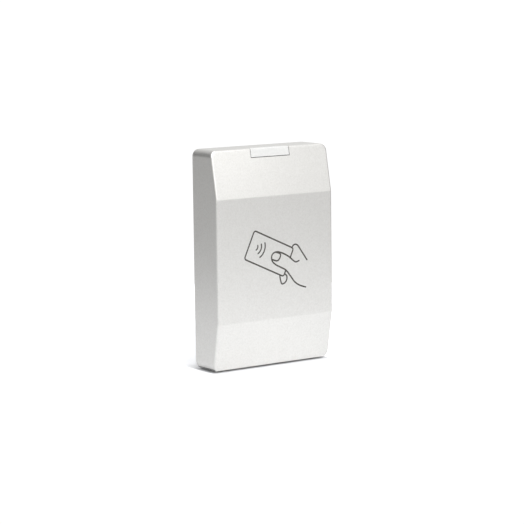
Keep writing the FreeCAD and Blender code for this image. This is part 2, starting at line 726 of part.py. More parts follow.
def build_status_leds():
    """Three surface-mount LEDs, each with a round well."""
    body = new_body("status_leds")
    places = [(f"{index} * led_pitch", "led_z") for index in (-1, 0, 1)]
    outline = blocks_at(places, "led_length", "led_width")
    pad(body, "bodies", FACING_FRONT, BOARD_FRONT, "led_height", outline)
    face = f"{BOARD_FRONT} - led_height"
    cut(body, "wells", FACING_FRONT, face, "led_well_depth", circles_at(places, "led_well"))


def build_buzzer():
    """Round sounder with a small hole in its face."""
    body = new_body("buzzer")
    place = [("buzzer_x", "buzzer_z")]
    pad(body, "can", FACING_FRONT, BOARD_FRONT, "buzzer_height", circles_at(place, "buzzer_diameter"))
    face_y = value(f"{BOARD_FRONT} - buzzer_height")
    rim = lambda edge: abs(middle_of(edge).y - face_y) < TOUCH
    dress(body, "Fillet", "rim", rim, "buzzer_round")
    face = f"{BOARD_FRONT} - buzzer_height"
    cut(body, "sound_hole", FACING_FRONT, face, "buzzer_height / 2", circles_at(place, "buzzer_hole"))


def build_chip(label, across, up, side):
    """A flat square chip that stands just off the board."""
    body = new_body(label)
    outline = blocks_at([(across, up)], side, side)
    pad(body, "moulding", FACING_FRONT, f"{BOARD_FRONT} - chip_standoff", "chip_height", outline)


def build_chip_leads():
    """Gull-wing leads along the four sides of both chips: a foot on the board and a shoulder."""
    body = new_body("chip_leads")
    chips = (("reader_x", "reader_z", "reader_side"), ("micro_x", "micro_z", "micro_side"))
    start = (LEADS_PER_SIDE - 1) / 2
    steps = [f"{index - start} * lead_pitch" for index in range(LEADS_PER_SIDE)]
    shoulder_face = f"{BOARD_FRONT} - lead_rise + lead_thick"
    half = "lead_reach / 2"
    for across, up, side in chips:
        for sign in ("-", "+"):
            for part, reach, face, thick in (
                ("foot", "3 * lead_reach / 4", BOARD_FRONT, "lead_rise"),
                ("shoulder", "lead_reach / 4", shoulder_face, "lead_thick"),
            ):
                out = f"{sign} ({side} / 2 + {reach})"
                beside = [(f"{across} {out}", f"{up} + {step}") for step in steps]
                beyond = [(f"{across} + {step}", f"{up} {out}") for step in steps]
                lying = blocks_at(beside, half, "lead_width")
                upright = blocks_at(beyond, "lead_width", half)
                pad(body, part + "_beside", FACING_FRONT, face, thick, lying)
                pad(body, part + "_beyond", FACING_FRONT, face, thick, upright)


def build_crystal():
    """Low metal can beside the microcontroller."""
    body = new_body("crystal")
    place = [("micro_x - micro_side - lead_reach", "micro_z + micro_side")]
    outline = blocks_at(place, "crystal_length", "crystal_width")
    pad(body, "can", FACING_FRONT, BOARD_FRONT, "crystal_height", outline)
    dress(body, "Fillet", "corners", is_depth_edge, "crystal_round")


def build_voltage_regulator():
    """Moulding with a wide tab on one side and three legs on the other."""
    body = new_body("voltage_regulator")
    places = [("regulator_x", "regulator_z")]
    moulding = blocks_at(places, "regulator_length", "regulator_width")
    pad(body, "moulding", FACING_FRONT, BOARD_FRONT, "regulator_height", moulding)
    reach = "(regulator_width / 2 + lead_reach)"
    leg = "lead_pitch"
    legs = [(f"regulator_x + {index} * regulator_length / 3", "regulator_z") for index in (-1, 0, 1)]

    def metal(made):
        for across, up in legs:
            rectangle(made, f"{across} - {leg} / 2", f"{across} + {leg} / 2", f"{up} - {reach}", up)

    pad(body, "legs", FACING_FRONT, BOARD_FRONT, "lead_thick", metal)
    tab = lambda made: rectangle(
        made,
        "regulator_x - regulator_length / 4",
        "regulator_x + regulator_length / 4",
        "regulator_z",
        f"regulator_z + {reach}",
    )
    pad(body, "tab", FACING_FRONT, BOARD_FRONT, "lead_thick", tab)


def build_bulk_capacitors():
    """Two round cans, each on a square base."""
    body = new_body("bulk_capacitors")
    places = [(f"capacitor_x + {index} * capacitor_pitch", "capacitor_z") for index in (0, 1)]
    base = blocks_at(places, "capacitor_base", "capacitor_base")
    pad(body, "bases", FACING_FRONT, BOARD_FRONT, "base_thick", base)
    cans = circles_at(places, "capacitor_diameter")
    pad(body, "cans", FACING_FRONT, f"{BOARD_FRONT} - base_thick", "capacitor_height", cans)


def build_power_inductor():
    """Square shielded inductor with rounded corners."""
    body = new_body("power_inductor")
    outline = blocks_at([("inductor_x", "inductor_z")], "inductor_side", "inductor_side")
    pad(body, "core", FACING_FRONT, BOARD_FRONT, "inductor_height", outline)
    dress(body, "Fillet", "corners", is_depth_edge, "inductor_round")


def build_surge_suppressors():
    """Three diodes across the incoming lines."""
    body = new_body("surge_suppressors")
    places = [(f"suppressor_x + {index} * suppressor_pitch", "suppressor_z") for index in (0, 1, 2)]
    outline = blocks_at(places, "suppressor_width", "suppressor_length")
    pad(body, "bodies", FACING_FRONT, BOARD_FRONT, "suppressor_height", outline)


def build_chip_resistors():
    """Two rows of resistors under the microcontroller and a row by the LEDs."""
    body = new_body("chip_resistors")
    columns = [f"micro_x + ({index} - 2) * 2 * resistor_width" for index in range(5)]
    rows = [f"micro_z - micro_side - {index} * 2 * resistor_length" for index in (0, 1)]
    under = [(across, up) for up in rows for across in columns]
    by_leds = [(f"{index} * led_pitch", "led_z - 2 * led_width") for index in (-1, 0, 1)]
    outline = blocks_at(under + by_leds, "resistor_width", "resistor_length")
    pad(body, "bodies", FACING_FRONT, BOARD_FRONT, "resistor_height", outline)


def build_chip_capacitors():
    """Tuning capacitors above the reader chip and decoupling beside the microcontroller."""
    body = new_body("chip_capacitors")
    above = "reader_z + reader_side / 2 + 2 * lead_reach + ceramic_length / 4"
    tuning = [(f"reader_x + ({index} - 1.5) * 2 * ceramic_width", above) for index in range(4)]
    decoupling = [
        ("micro_x + micro_side", f"micro_z + ({index} - 1) * 2 * ceramic_length") for index in range(3)
    ]
    outline = blocks_at(tuning + decoupling, "ceramic_width", "ceramic_length")
    pad(body, "bodies", FACING_FRONT, BOARD_FRONT, "ceramic_height", outline)


def build_wire_connector():
    """Open-topped shroud with a floor that the pins stand in."""
    body = new_body("wire_connector")
    place = [("0", "connector_z")]
    outer = blocks_at(place, "connector_width", "connector_height")
    top = "board_rear + connector_reach"
    pad(body, "shroud", FACING_FRONT, top, "connector_reach", outer)
    inset = "2 * connector_wall"
    inner = blocks_at(place, f"connector_width - {inset}", f"connector_height - {inset}")
    depth = "connector_reach - connector_floor"
    cut(body, "mouth", FACING_FRONT, "board_rear + connector_floor", depth, inner)
    pins = blocks_at(pin_places(), "pin_hole", "pin_hole")
    cut(body, "pin_holes", FACING_FRONT, "board_rear", "connector_floor", pins)


def build_connector_pins():
    """Square pins through the board and the connector's floor."""
    body = new_body("connector_pins")
    length = "pin_reach + board_thick + pin_tail"
    outline = blocks_at(pin_places(), "pin_side", "pin_side")
    pad(body, "pins", FACING_FRONT, "board_rear + pin_reach", length, outline)


def build_tamper_switch_body():
    """Square body bored for the plunger and its spring, with a lip at the mouth."""
    body = new_body("tamper_switch_body")
    place = [("tamper_x", "tamper_z")]
    top = "(board_rear + tamper_reach)"
    outer = blocks_at(place, "tamper_side", "tamper_side")
    pad(body, "block", FACING_FRONT, top, "tamper_reach", outer)
    floor = "board_rear + tamper_floor"
    depth = "tamper_reach - tamper_floor"
    cut(body, "neck", FACING_FRONT, floor, depth, circles_at(place, "neck_bore"))
    bore = circles_at(place, "tamper_bore")
    cut(body, "bore", FACING_FRONT, floor, f"{depth} - tamper_neck", bore)


def build_tamper_plunger():
    """Round stem with a flange inside the switch and a domed tip that meets the plate."""
    body = new_body("tamper_plunger")
    place = [("tamper_x", "tamper_z")]
    length = "plunger_tip - flange_front"
    pad(body, "stem", FACING_FRONT, "plunger_tip", length, circles_at(place, "plunger_diameter"))
    tip_y = value("plunger_tip")
    tip = lambda edge: abs(middle_of(edge).y - tip_y) < TOUCH
    dress(body, "Fillet", "tip", tip, "plunger_round")
    flange = circles_at(place, "plunger_flange")
    pad(body, "flange", FACING_FRONT, "flange_front + flange_thick", "flange_thick", flange)


def build_tamper_spring():
    """Coil spring between the floor of the switch's bore and the plunger's flange."""
    path = doc.addObject("Part::Helix", "spring_path")
    path.setExpression("Pitch", on_sheet("spring_pitch"))
    path.setExpression("Height", on_sheet("spring_height"))
    path.setExpression("Radius", on_sheet("spring_radius"))
    section = doc.addObject("Part::Circle", "spring_section")
    section.setExpression("Radius", on_sheet("spring_wire / 2"))
    section.setExpression("Placement.Base.x", on_sheet("spring_radius"))
    section.Placement.Rotation = FreeCAD.Rotation(ALONG_X, 90)
    spring = doc.addObject("Part::Sweep", "tamper_spring")
    spring.Label = "tamper_spring"
    spring.Sections = [section]
    spring.Spine = (path, ["Edge1"])
    spring.Solid = True
    spring.Frenet = True
    spring.Placement.Rotation = FreeCAD.Rotation(ALONG_X, -90)
    spring.setExpression("Placement.Base.x", on_sheet("tamper_x"))
    spring.setExpression("Placement.Base.y", on_sheet("board_rear + tamper_floor + spring_wire / 2 + 0.01"))
    spring.setExpression("Placement.Base.z", on_sheet("tamper_z"))
    parts.append(spring)


def build_mounting_plate():
    """Wall plate with two hooks, a lock tab, screw slots and a cable window."""
    body = new_body("mounting_plate")
    side = f"({INNER_SIDE} - plate_side)"
    panel = lambda made: rectangle(made, f"0 - {side}", side, "plate_low", "plate_high")
    pad(body, "panel", FACING_FRONT, WALL_FACE, "plate_thick", panel)
    dress(body, "Fillet", "corners", is_depth_edge, "plate_radius")
    wall_edge = outline_of_face_at(body, value(WALL_FACE))
    dress(body, "Chamfer", "wall_edge", wall_edge, "plate_chamfer")
    tab = lambda made: rectangle(
        made, "0 - tab_width / 2", "tab_width / 2", "plate_low", "plate_low + tab_height"
    )
    pad(body, "lock_tab", FACING_FRONT, PLATE_FRONT, "tab_reach", tab)

    neck = lambda made: rectangle(
        made,
        "hook_axis_y - hook_neck / 2",
        "hook_axis_y + hook_neck / 2",
        "plate_high - hook_root",
        "hook_axis_z",
    )
    head = lambda made: circle(made, "hook_axis_y", "hook_axis_z", "2 * hook_radius")
    for name, middle in (("left", "0 - hook_side"), ("right", "hook_side")):
        start = f"{middle} - hook_width / 2"
        pad(body, name + "_neck", FACING_RIGHT, start, "hook_width", neck)
        pad(body, name + "_head", FACING_RIGHT, start, "hook_width", head)

    window = lambda made: rectangle(
        made, "0 - window_width / 2", "window_width / 2", "window_low", "window_low + window_height"
    )
    cut(body, "cable_window", FACING_FRONT, PLATE_FRONT, "plate_thick", window)

    def across_slots(made):
        for sign in ("0 - ", ""):
            slotted_hole(made, f"{sign}box_spacing / 2", MIDDLE_Z, upright=False)

    def upright_slots(made):
        for sign in ("-", "+"):
            slotted_hole(made, "0", f"{MIDDLE_Z} {sign} gang_spacing / 2", upright=True)

    cut(body, "wall_box_slots", FACING_FRONT, PLATE_FRONT, "plate_thick", across_slots)
    cut(body, "gang_box_slots", FACING_FRONT, PLATE_FRONT, "plate_thick", upright_slots)

    hole = lambda made: circle(made, "0", "lock_axis_y", "insert_diameter")
    cut(body, "insert_hole", FACING_UP, "plate_low", "insert_height", hole, onward=True)
    tail = lambda made: circle(made, "0", "lock_axis_y", "insert_bore")
    cut(body, "tip_hole", FACING_UP, "plate_low + insert_height", "tip_hole_depth", tail, onward=True)


def build_lock_insert():
    """Brass insert in the plate's tab."""
    body = new_body("lock_insert")

    def ring(made):
        circle(made, "0", "lock_axis_y", "insert_diameter")
        circle(made, "0", "lock_axis_y", "insert_bore")

    pad(body, "ring", FACING_UP, "plate_low", "insert_height", ring)

    def groove(made):
        circle(made, "0", "lock_axis_y", "2 * insert_diameter")
        circle(made, "0", "lock_axis_y", "insert_diameter - 2 * insert_groove")

    top = "(plate_low + 2 * insert_height / 3)"
    cut(body, "groove", FACING_UP, top, "insert_height / 3", groove)


def build_lock_screw():
    """Low-headed screw with a hexagon socket, up through the housing's bottom into the insert."""
    body = new_body("lock_screw")
    head = lambda made: circle(made, "0", "lock_axis_y", "lock_head")
    pad(body, "head", FACING_UP, "lock_head_low", "lock_head_thick", head)
    low = value("lock_head_low")
    rim = lambda edge: abs(middle_of(edge).z - low) < TOUCH
    dress(body, "Fillet", "head_rim", rim, "lock_head_round")
    seat = "(lock_head_low + lock_head_thick)"
    shank = lambda made: circle(made, "0", "lock_axis_y", "lock_shank")
    pad(body, "shank", FACING_UP, seat, f"lock_tip - {seat}", shank)
    point = f"lock_socket / {math.sqrt(3)}"
    corners = [
        (point, "lock_axis_y"),
        (f"{point} / 2", "lock_axis_y + lock_socket / 2"),
        (f"0 - {point} / 2", "lock_axis_y + lock_socket / 2"),
        (f"0 - {point}", "lock_axis_y"),
        (f"0 - {point} / 2", "lock_axis_y - lock_socket / 2"),
        (f"{point} / 2", "lock_axis_y - lock_socket / 2"),
    ]
    socket = lambda made: polygon(made, corners)
    cut(body, "socket", FACING_UP, "lock_head_low + lock_socket_depth", "lock_socket_depth", socket)


def check_document():
    """Stops if any object failed, or any sub-part's shape is empty or not valid."""
    for item in doc.Objects:
        if "Invalid" in item.State or "Error" in item.State:
            raise RuntimeError(f"{item.Label} failed: {item.State}")
    for part in parts:
        if part.Shape.isNull() or not part.Shape.isValid() or not part.Shape.Solids:
            raise RuntimeError(f"{part.Label} has no valid solid")


def write_parts():
    """Writes each sub-part to its own file."""
    os.makedirs("parts", exist_ok=True)
    for part in parts:
        part.Shape.exportStep(f"parts/{part.Label}.step")
        print(f"{part.Label}: {len(part.Shape.Solids)} solids, {part.Shape.Volume:.1f} mm3")


fill_sheet()
build_front_housing()
build_status_lens()
build_light_guide()
build_rear_cover()
build_cover_gasket()
build_small_screws("cover_screws", COVER_SCREWS, COVER_REAR)
build_circuit_board()
build_small_screws("board_screws", BOARD_SCREWS, "board_rear")
build_antenna_coil()
build_coil_leads()
build_status_leds()
build_buzzer()
build_chip("reader_chip", "reader_x", "reader_z", "reader_side")
build_chip("microcontroller", "micro_x", "micro_z", "micro_side")
build_chip_leads()
build_crystal()
build_voltage_regulator()
build_bulk_capacitors()
build_power_inductor()
build_surge_suppressors()
build_chip_resistors()
build_chip_capacitors()
build_wire_connector()
build_connector_pins()
build_tamper_switch_body()
build_tamper_plunger()
build_tamper_spring()
build_mounting_plate()
build_lock_insert()
build_lock_screw()
doc.recompute()
check_document()
write_parts()
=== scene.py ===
import json
import math

import bmesh
import bpy
from mathutils import Matrix, Vector


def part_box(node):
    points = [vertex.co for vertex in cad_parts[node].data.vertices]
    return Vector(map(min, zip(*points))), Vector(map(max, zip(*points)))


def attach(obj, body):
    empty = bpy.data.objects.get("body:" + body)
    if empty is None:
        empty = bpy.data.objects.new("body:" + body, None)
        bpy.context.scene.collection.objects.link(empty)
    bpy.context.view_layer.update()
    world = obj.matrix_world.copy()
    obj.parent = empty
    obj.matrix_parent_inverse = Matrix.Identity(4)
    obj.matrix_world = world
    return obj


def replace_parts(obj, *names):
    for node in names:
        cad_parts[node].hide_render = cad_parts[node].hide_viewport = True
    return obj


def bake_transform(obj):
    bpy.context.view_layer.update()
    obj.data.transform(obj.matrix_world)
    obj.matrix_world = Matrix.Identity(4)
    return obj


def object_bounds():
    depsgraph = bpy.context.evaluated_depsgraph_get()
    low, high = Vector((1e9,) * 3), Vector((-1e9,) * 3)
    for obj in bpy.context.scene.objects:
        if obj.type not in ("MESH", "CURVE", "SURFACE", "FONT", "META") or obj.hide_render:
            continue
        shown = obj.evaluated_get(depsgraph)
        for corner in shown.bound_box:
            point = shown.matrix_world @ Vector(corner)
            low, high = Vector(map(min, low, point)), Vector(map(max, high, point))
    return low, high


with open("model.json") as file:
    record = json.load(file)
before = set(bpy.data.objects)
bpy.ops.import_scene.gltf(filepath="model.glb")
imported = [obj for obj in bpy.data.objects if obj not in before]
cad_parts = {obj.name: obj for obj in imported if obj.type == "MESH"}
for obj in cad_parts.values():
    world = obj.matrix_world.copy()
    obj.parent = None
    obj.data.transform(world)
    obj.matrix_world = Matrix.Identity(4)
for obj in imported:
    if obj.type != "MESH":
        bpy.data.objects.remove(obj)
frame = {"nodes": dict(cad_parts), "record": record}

# The scene round a wall card reader: silver-painted shell, printed pictogram, frosted status lens,
# and the board, coil and wiring behind it. Everything is in metres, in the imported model's frame.

MM = 0.001
# A Mix node's colour sockets.
COLOUR_A = 6
COLOUR_B = 7
COLOUR_RESULT = 2
WHITE = (1.0, 1.0, 1.0, 1.0)
cad_low, cad_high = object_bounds()


# ---------------------------------------------------------------- material nodes

def new_material(name):
    """A material with its principled shader, and its tree."""
    made = bpy.data.materials.new(name)
    made.use_nodes = True
    tree = made.node_tree
    return made, tree, tree.nodes["Principled BSDF"]


def node(tree, kind, **values):
    """A node with some of its inputs or settings filled in."""
    made = tree.nodes.new(kind)
    for name, value in values.items():
        label = name.replace("_", " ")
        if label in made.inputs:
            made.inputs[label].default_value = value
        else:
            setattr(made, name, value)
    return made


def place(tree, stretch=None):
    """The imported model's coordinates, which every pattern is drawn in, pulled along an axis if asked."""
    source = node(tree, "ShaderNodeTexCoord").outputs["Object"]
    if stretch is None:
        return source
    mapping = node(tree, "ShaderNodeMapping", Scale=stretch)
    tree.links.new(source, mapping.inputs["Vector"])
    return mapping.outputs["Vector"]


def noise(tree, scale, detail=2.0, stretch=None):
    """Smooth noise with features about 1/scale metres across."""
    made = node(tree, "ShaderNodeTexNoise", Scale=scale, Detail=detail)
    tree.links.new(place(tree, stretch), made.inputs["Vector"])
    return made.outputs["Fac"]


def cells(tree, scale):
    """Small cells, each with a value of its own."""
    made = node(tree, "ShaderNodeTexVoronoi", Scale=scale)
    tree.links.new(place(tree), made.inputs["Vector"])
    return made.outputs["Color"]


def ramp(tree, source, stops):
    """Colours along a value: stops are (place, grey or colour)."""
    made = node(tree, "ShaderNodeValToRGB")
    band = made.color_ramp
    while len(band.elements) < len(stops):
        band.elements.new(1.0)
    for element, (at, colour) in zip(band.elements, stops):
        shade = colour if isinstance(colour, tuple) else (colour, colour, colour)
        element.position = at
        element.color = (*shade, 1.0)
    tree.links.new(source, made.inputs["Fac"])
    return made.outputs["Color"]


def multiply_colours(tree, first, second):
    """The product of two colours."""
    made = node(tree, "ShaderNodeMix", data_type="RGBA", blend_type="MULTIPLY")
    made.inputs["Factor"].default_value = 1.0
    tree.links.new(first, made.inputs[COLOUR_A])
    tree.links.new(second, made.inputs[COLOUR_B])
    return made.outputs[COLOUR_RESULT]


def vector_step(tree, operation, vector, amount=(0.0, 0.0, 0.0)):
    """One step of arithmetic on a vector. Its result is a number for a dot product or a length."""
    made = node(tree, "ShaderNodeVectorMath", operation=operation)
    tree.links.new(vector, made.inputs[0])
    made.inputs[1].default_value = amount
    gives_number = operation in ("DOT_PRODUCT", "LENGTH")
    return made.outputs["Value" if gives_number else "Vector"]


def bump(tree, shader, height, distance):
    """Relief that stands distance metres high where height is 1, on top of any relief already there."""
    made = node(tree, "ShaderNodeBump", Distance=distance)
    tree.links.new(height, made.inputs["Height"])
    normal = shader.inputs["Normal"]
    if normal.is_linked:
        tree.links.new(normal.links[0].from_socket, made.inputs["Normal"])
    tree.links.new(made.outputs["Normal"], normal)


# ---------------------------------------------------------------- materials

def finish_of(name, dark, light, rough, metallic=0.0, grain=900, relief=20e-6, fine=3000, stretch=None):
    """A moulded, drawn or plated finish: two tones, roughness that varies, and fine relief."""
    made, tree, shader = new_material(name)
    tone = noise(tree, grain, 3.0, stretch)
    tree.links.new(ramp(tree, tone, [(0.3, dark), (0.7, light)]), shader.inputs["Base Color"])
    low, high = rough
    grit = noise(tree, fine, 2.0, stretch)
    tree.links.new(ramp(tree, grit, [(0.3, low), (0.7, high)]), shader.inputs["Roughness"])
    shader.inputs["Metallic"].default_value = metallic
    bump(tree, shader, grit, relief)
    return made


def silver_paint():
    """Satin metallic paint: flakes that each catch the light differently, in a slightly uneven coat."""
    made, tree, shader = new_material("silver_paint")
    flakes = ramp(tree, cells(tree, 1900), [(0.0, 0.93), (0.5, 0.975), (1.0, 1.0)])
    coat = ramp(tree, noise(tree, 900, 4.0), [(0.3, (0.80, 0.791, 0.765)), (0.7, (0.84, 0.833, 0.810))])
    tree.links.new(multiply_colours(tree, coat, flakes), shader.inputs["Base Color"])
    shader.inputs["Metallic"].default_value = 0.9
    rough = ramp(tree, cells(tree, 2600), [(0.0, 0.34), (1.0, 0.46)])
    tree.links.new(rough, shader.inputs["Roughness"])
    bump(tree, shader, noise(tree, 2600, 1.0), 6e-6)
    bump(tree, shader, noise(tree, 700, 2.0), 8e-6)
    return made


def frosted_lens():
    """White diffusing plastic with a fine matt face."""
    made, tree, shader = new_material("frosted_lens")
    tones = [(0.3, (0.64, 0.642, 0.630)), (0.7, (0.68, 0.682, 0.670))]
    tone = ramp(tree, noise(tree, 900, 3.0), tones)
    tree.links.new(tone, shader.inputs["Base Color"])
    tree.links.new(ramp(tree, noise(tree, 4000), [(0.3, 0.26), (0.7, 0.38)]), shader.inputs["Roughness"])
    shader.inputs["Subsurface Weight"].default_value = 0.25
    shader.inputs["Subsurface Radius"].default_value = (0.0015, 0.0015, 0.0015)
    bump(tree, shader, noise(tree, 6000), 4e-6)
    return made


def clear_acrylic():
    """Clear plastic with a polished face and faint flow marks."""
    made, tree, shader = new_material("clear_acrylic")
    tint = ramp(tree, noise(tree, 400), [(0.3, (0.93, 0.95, 0.96)), (0.7, (0.97, 0.98, 0.985))])
    tree.links.new(tint, shader.inputs["Base Color"])
    tree.links.new(ramp(tree, noise(tree, 900), [(0.3, 0.04), (0.7, 0.12)]), shader.inputs["Roughness"])
    shader.inputs["Transmission Weight"].default_value = 0.9
    shader.inputs["IOR"].default_value = 1.49
    bump(tree, shader, noise(tree, 300), 6e-6)
    return made


FINISHES = {
    "bare_abs": dict(dark=(0.10, 0.10, 0.105), light=(0.13, 0.13, 0.135), rough=(0.45, 0.60)),
    "black_moulding": dict(dark=(0.012, 0.012, 0.013), light=(0.022, 0.022, 0.023), rough=(0.36, 0.52)),
    "capacitor_can": dict(
        dark=0.66, light=0.76, rough=(0.24, 0.34), metallic=1.0, relief=4e-6, stretch=(1.0, 0.08, 1.0),
    ),
    "charcoal_abs": dict(
        dark=(0.028, 0.029, 0.031), light=(0.042, 0.043, 0.045), rough=(0.46, 0.64), relief=24e-6,
    ),
    "chip_ceramic": dict(dark=(0.42, 0.27, 0.15), light=(0.52, 0.35, 0.20), rough=(0.34, 0.46)),
    "chip_epoxy": dict(
        dark=(0.013, 0.013, 0.014), light=(0.024, 0.024, 0.026), rough=(0.50, 0.68), fine=5000,
    ),
    "chip_resistor": dict(dark=(0.012, 0.012, 0.014), light=(0.02, 0.02, 0.023), rough=(0.25, 0.35)),
    "connector_nylon": dict(dark=(0.70, 0.69, 0.63), light=(0.77, 0.76, 0.70), rough=(0.38, 0.52)),
    "copper_winding": dict(
        dark=(0.50, 0.17, 0.045), light=(0.68, 0.26, 0.08), rough=(0.22, 0.34), metallic=0.85, relief=3e-6,
    ),
    "ferrite": dict(
        dark=(0.045, 0.046, 0.05), light=(0.075, 0.076, 0.08), rough=(0.50, 0.70), grain=1800, relief=30e-6,
    ),
    "gasket_rubber": dict(
        dark=(0.018, 0.018, 0.019), light=(0.03, 0.03, 0.031), rough=(0.66, 0.85), grain=2400,
    ),
    "grey_abs": dict(dark=(0.17, 0.18, 0.185), light=(0.20, 0.21, 0.215), rough=(0.48, 0.62), relief=18e-6),
    "insert_brass": dict(
        dark=(0.60, 0.42, 0.16), light=(0.72, 0.52, 0.22), rough=(0.22, 0.34), metallic=1.0, relief=5e-6,
    ),
    "led_gel": dict(dark=(0.80, 0.62, 0.12), light=(0.88, 0.72, 0.20), rough=(0.18, 0.28), relief=4e-6),
    "led_white": dict(dark=(0.78, 0.78, 0.74), light=(0.85, 0.85, 0.81), rough=(0.30, 0.42), relief=6e-6),
    "legend_white": dict(dark=(0.74, 0.75, 0.72), light=(0.82, 0.83, 0.80), rough=(0.55, 0.70), relief=5e-6),
    "mask_over_copper": dict(
        dark=(0.02, 0.20, 0.085), light=(0.028, 0.25, 0.11), rough=(0.26, 0.36), relief=5e-6,
    ),
    "plunger_nylon": dict(
        dark=(0.70, 0.69, 0.64), light=(0.78, 0.77, 0.72), rough=(0.32, 0.45), relief=10e-6,
    ),
    "printed_ink": dict(
        dark=(0.040, 0.035, 0.030), light=(0.056, 0.050, 0.044), rough=(0.40, 0.55), relief=5e-6,
    ),
    "spring_steel": dict(dark=0.42, light=0.56, rough=(0.18, 0.30), metallic=1.0, relief=2e-6),
    "steel_screw": dict(dark=0.50, light=0.62, rough=(0.20, 0.34), metallic=1.0, relief=4e-6),
    "tinned_lead": dict(dark=0.62, light=0.74, rough=(0.22, 0.36), metallic=1.0, relief=5e-6),
}


def board_laminate():
    """Woven glass under green mask: the weave shows faintly through the gloss."""
    made, tree, shader = new_material("board_laminate")
    weave = node(tree, "ShaderNodeTexWave", Scale=260.0, Distortion=0.6)
    tree.links.new(place(tree), weave.inputs["Vector"])
    threads = ramp(tree, weave.outputs["Fac"], [(0.2, 0.93), (0.8, 1.0)])
    mask = ramp(tree, noise(tree, 120, 3.0), [(0.3, (0.012, 0.125, 0.055)), (0.7, (0.016, 0.15, 0.068))])
    tree.links.new(multiply_colours(tree, mask, threads), shader.inputs["Base Color"])
    tree.links.new(ramp(tree, noise(tree, 900), [(0.3, 0.24), (0.7, 0.34)]), shader.inputs["Roughness"])
    bump(tree, shader, weave.outputs["Fac"], 4e-6)
    return made


MATERIALS = {
    "silver_paint": silver_paint(),
    "frosted_lens": frosted_lens(),
    "clear_acrylic": clear_acrylic(),
    "board_laminate": board_laminate(),
}
for finish, looks in FINISHES.items():
    MATERIALS[finish] = finish_of(finish, **looks)


# ---------------------------------------------------------------- stage

FLOOR_RADIUS = 0.30
FLOOR_LEVEL = -0.02 * MM
FLOOR_TONES = [(0.3, (0.823, 0.83, 0.846)), (0.7, (0.843, 0.85, 0.866))]
OVEREXPOSED = 1.65
# Painted shade on the floor: how far from the base, in metres, the floor keeps its darker, unbrightened
# colour, and how much sooner it ends at the sides.
PAINTED_SHADE_REACH = 0.015
PAINTED_SHADE_NARROWING = 10.0

ROOM_STRENGTH = 1.06
# Brightness by height, from straight down at 0 over the horizon at 0.5 to straight up at 1.
ROOM = [(0.42, 0.47), (0.50, 0.56), (0.56, 0.79), (0.75, 0.87), (1.0, 0.84)]
# The dark panel behind the reader's left: its direction, how it fades in, and its brightness by height.
LEFT_PANEL = (-0.74, 0.67, 0.0)
LEFT_PANEL_EDGE = [(0.0, 0.0), (0.66, 1.0)]
LEFT_PANEL_TONES = [(0.44, 0.88), (0.50, 0.70), (0.56, 0.16), (0.70, 0.12), (0.85, 0.60)]
# The dark panel to its right.
RIGHT_PANEL = (1.0, 0.0, 0.05)
RIGHT_PANEL_TONES = [(0.80, 1.0), (0.92, 0.35)]


def white_surroundings():
    """World light: white to the camera, and for light a soft room with a dark panel on either side."""
    world = bpy.data.worlds.new("surroundings")
    bpy.context.scene.world = world
    world.use_nodes = True
    tree = world.node_tree
    background = tree.nodes["Background"]
    direction = node(tree, "ShaderNodeTexCoord").outputs["Generated"]
    axes = node(tree, "ShaderNodeSeparateXYZ")
    tree.links.new(direction, axes.inputs[0])
    rise = node(tree, "ShaderNodeMapRange")
    rise.inputs["From Min"].default_value = -1.0
    tree.links.new(axes.outputs["Z"], rise.inputs["Value"])
    height = rise.outputs["Result"]
    left = node(tree, "ShaderNodeMix", data_type="RGBA")
    towards_left = vector_step(tree, "DOT_PRODUCT", direction, LEFT_PANEL)
    tree.links.new(ramp(tree, towards_left, LEFT_PANEL_EDGE), left.inputs["Factor"])
    left.inputs[COLOUR_A].default_value = WHITE
    tree.links.new(ramp(tree, height, LEFT_PANEL_TONES), left.inputs[COLOUR_B])
    right = ramp(tree, vector_step(tree, "DOT_PRODUCT", direction, RIGHT_PANEL), RIGHT_PANEL_TONES)
    lit = multiply_colours(tree, ramp(tree, height, ROOM), left.outputs[COLOUR_RESULT])
    lit = multiply_colours(tree, lit, right)
    seen = node(tree, "ShaderNodeMix", data_type="RGBA")
    tree.links.new(node(tree, "ShaderNodeLightPath").outputs["Is Camera Ray"], seen.inputs["Factor"])
    tree.links.new(lit, seen.inputs[COLOUR_A])
    seen.inputs[COLOUR_B].default_value = WHITE
    tree.links.new(seen.outputs[COLOUR_RESULT], background.inputs["Color"])
    background.inputs["Strength"].default_value = ROOM_STRENGTH


def painted_shade_falloff(tree):
    """Mask of the floor's painted shade: 0 at the reader's base, where the floor stays darker, rising to 1 on
    the open floor. It rises sooner at the sides than in front.
    """
    middle = (cad_low + cad_high) / 2
    half = (cad_high - cad_low) / 2
    centred = vector_step(tree, "SUBTRACT", place(tree), (middle.x, middle.y, 0.0))
    either_side = vector_step(tree, "ABSOLUTE", centred)
    beyond = vector_step(tree, "SUBTRACT", either_side, (half.x, half.y, 0.0))
    outside = vector_step(tree, "MAXIMUM", beyond)
    narrowed = vector_step(tree, "MULTIPLY", outside, (PAINTED_SHADE_NARROWING, 1.0, 0.0))
    return ramp(tree, vector_step(tree, "LENGTH", narrowed), [(0.0, 0.0), (PAINTED_SHADE_REACH, 1.0)])


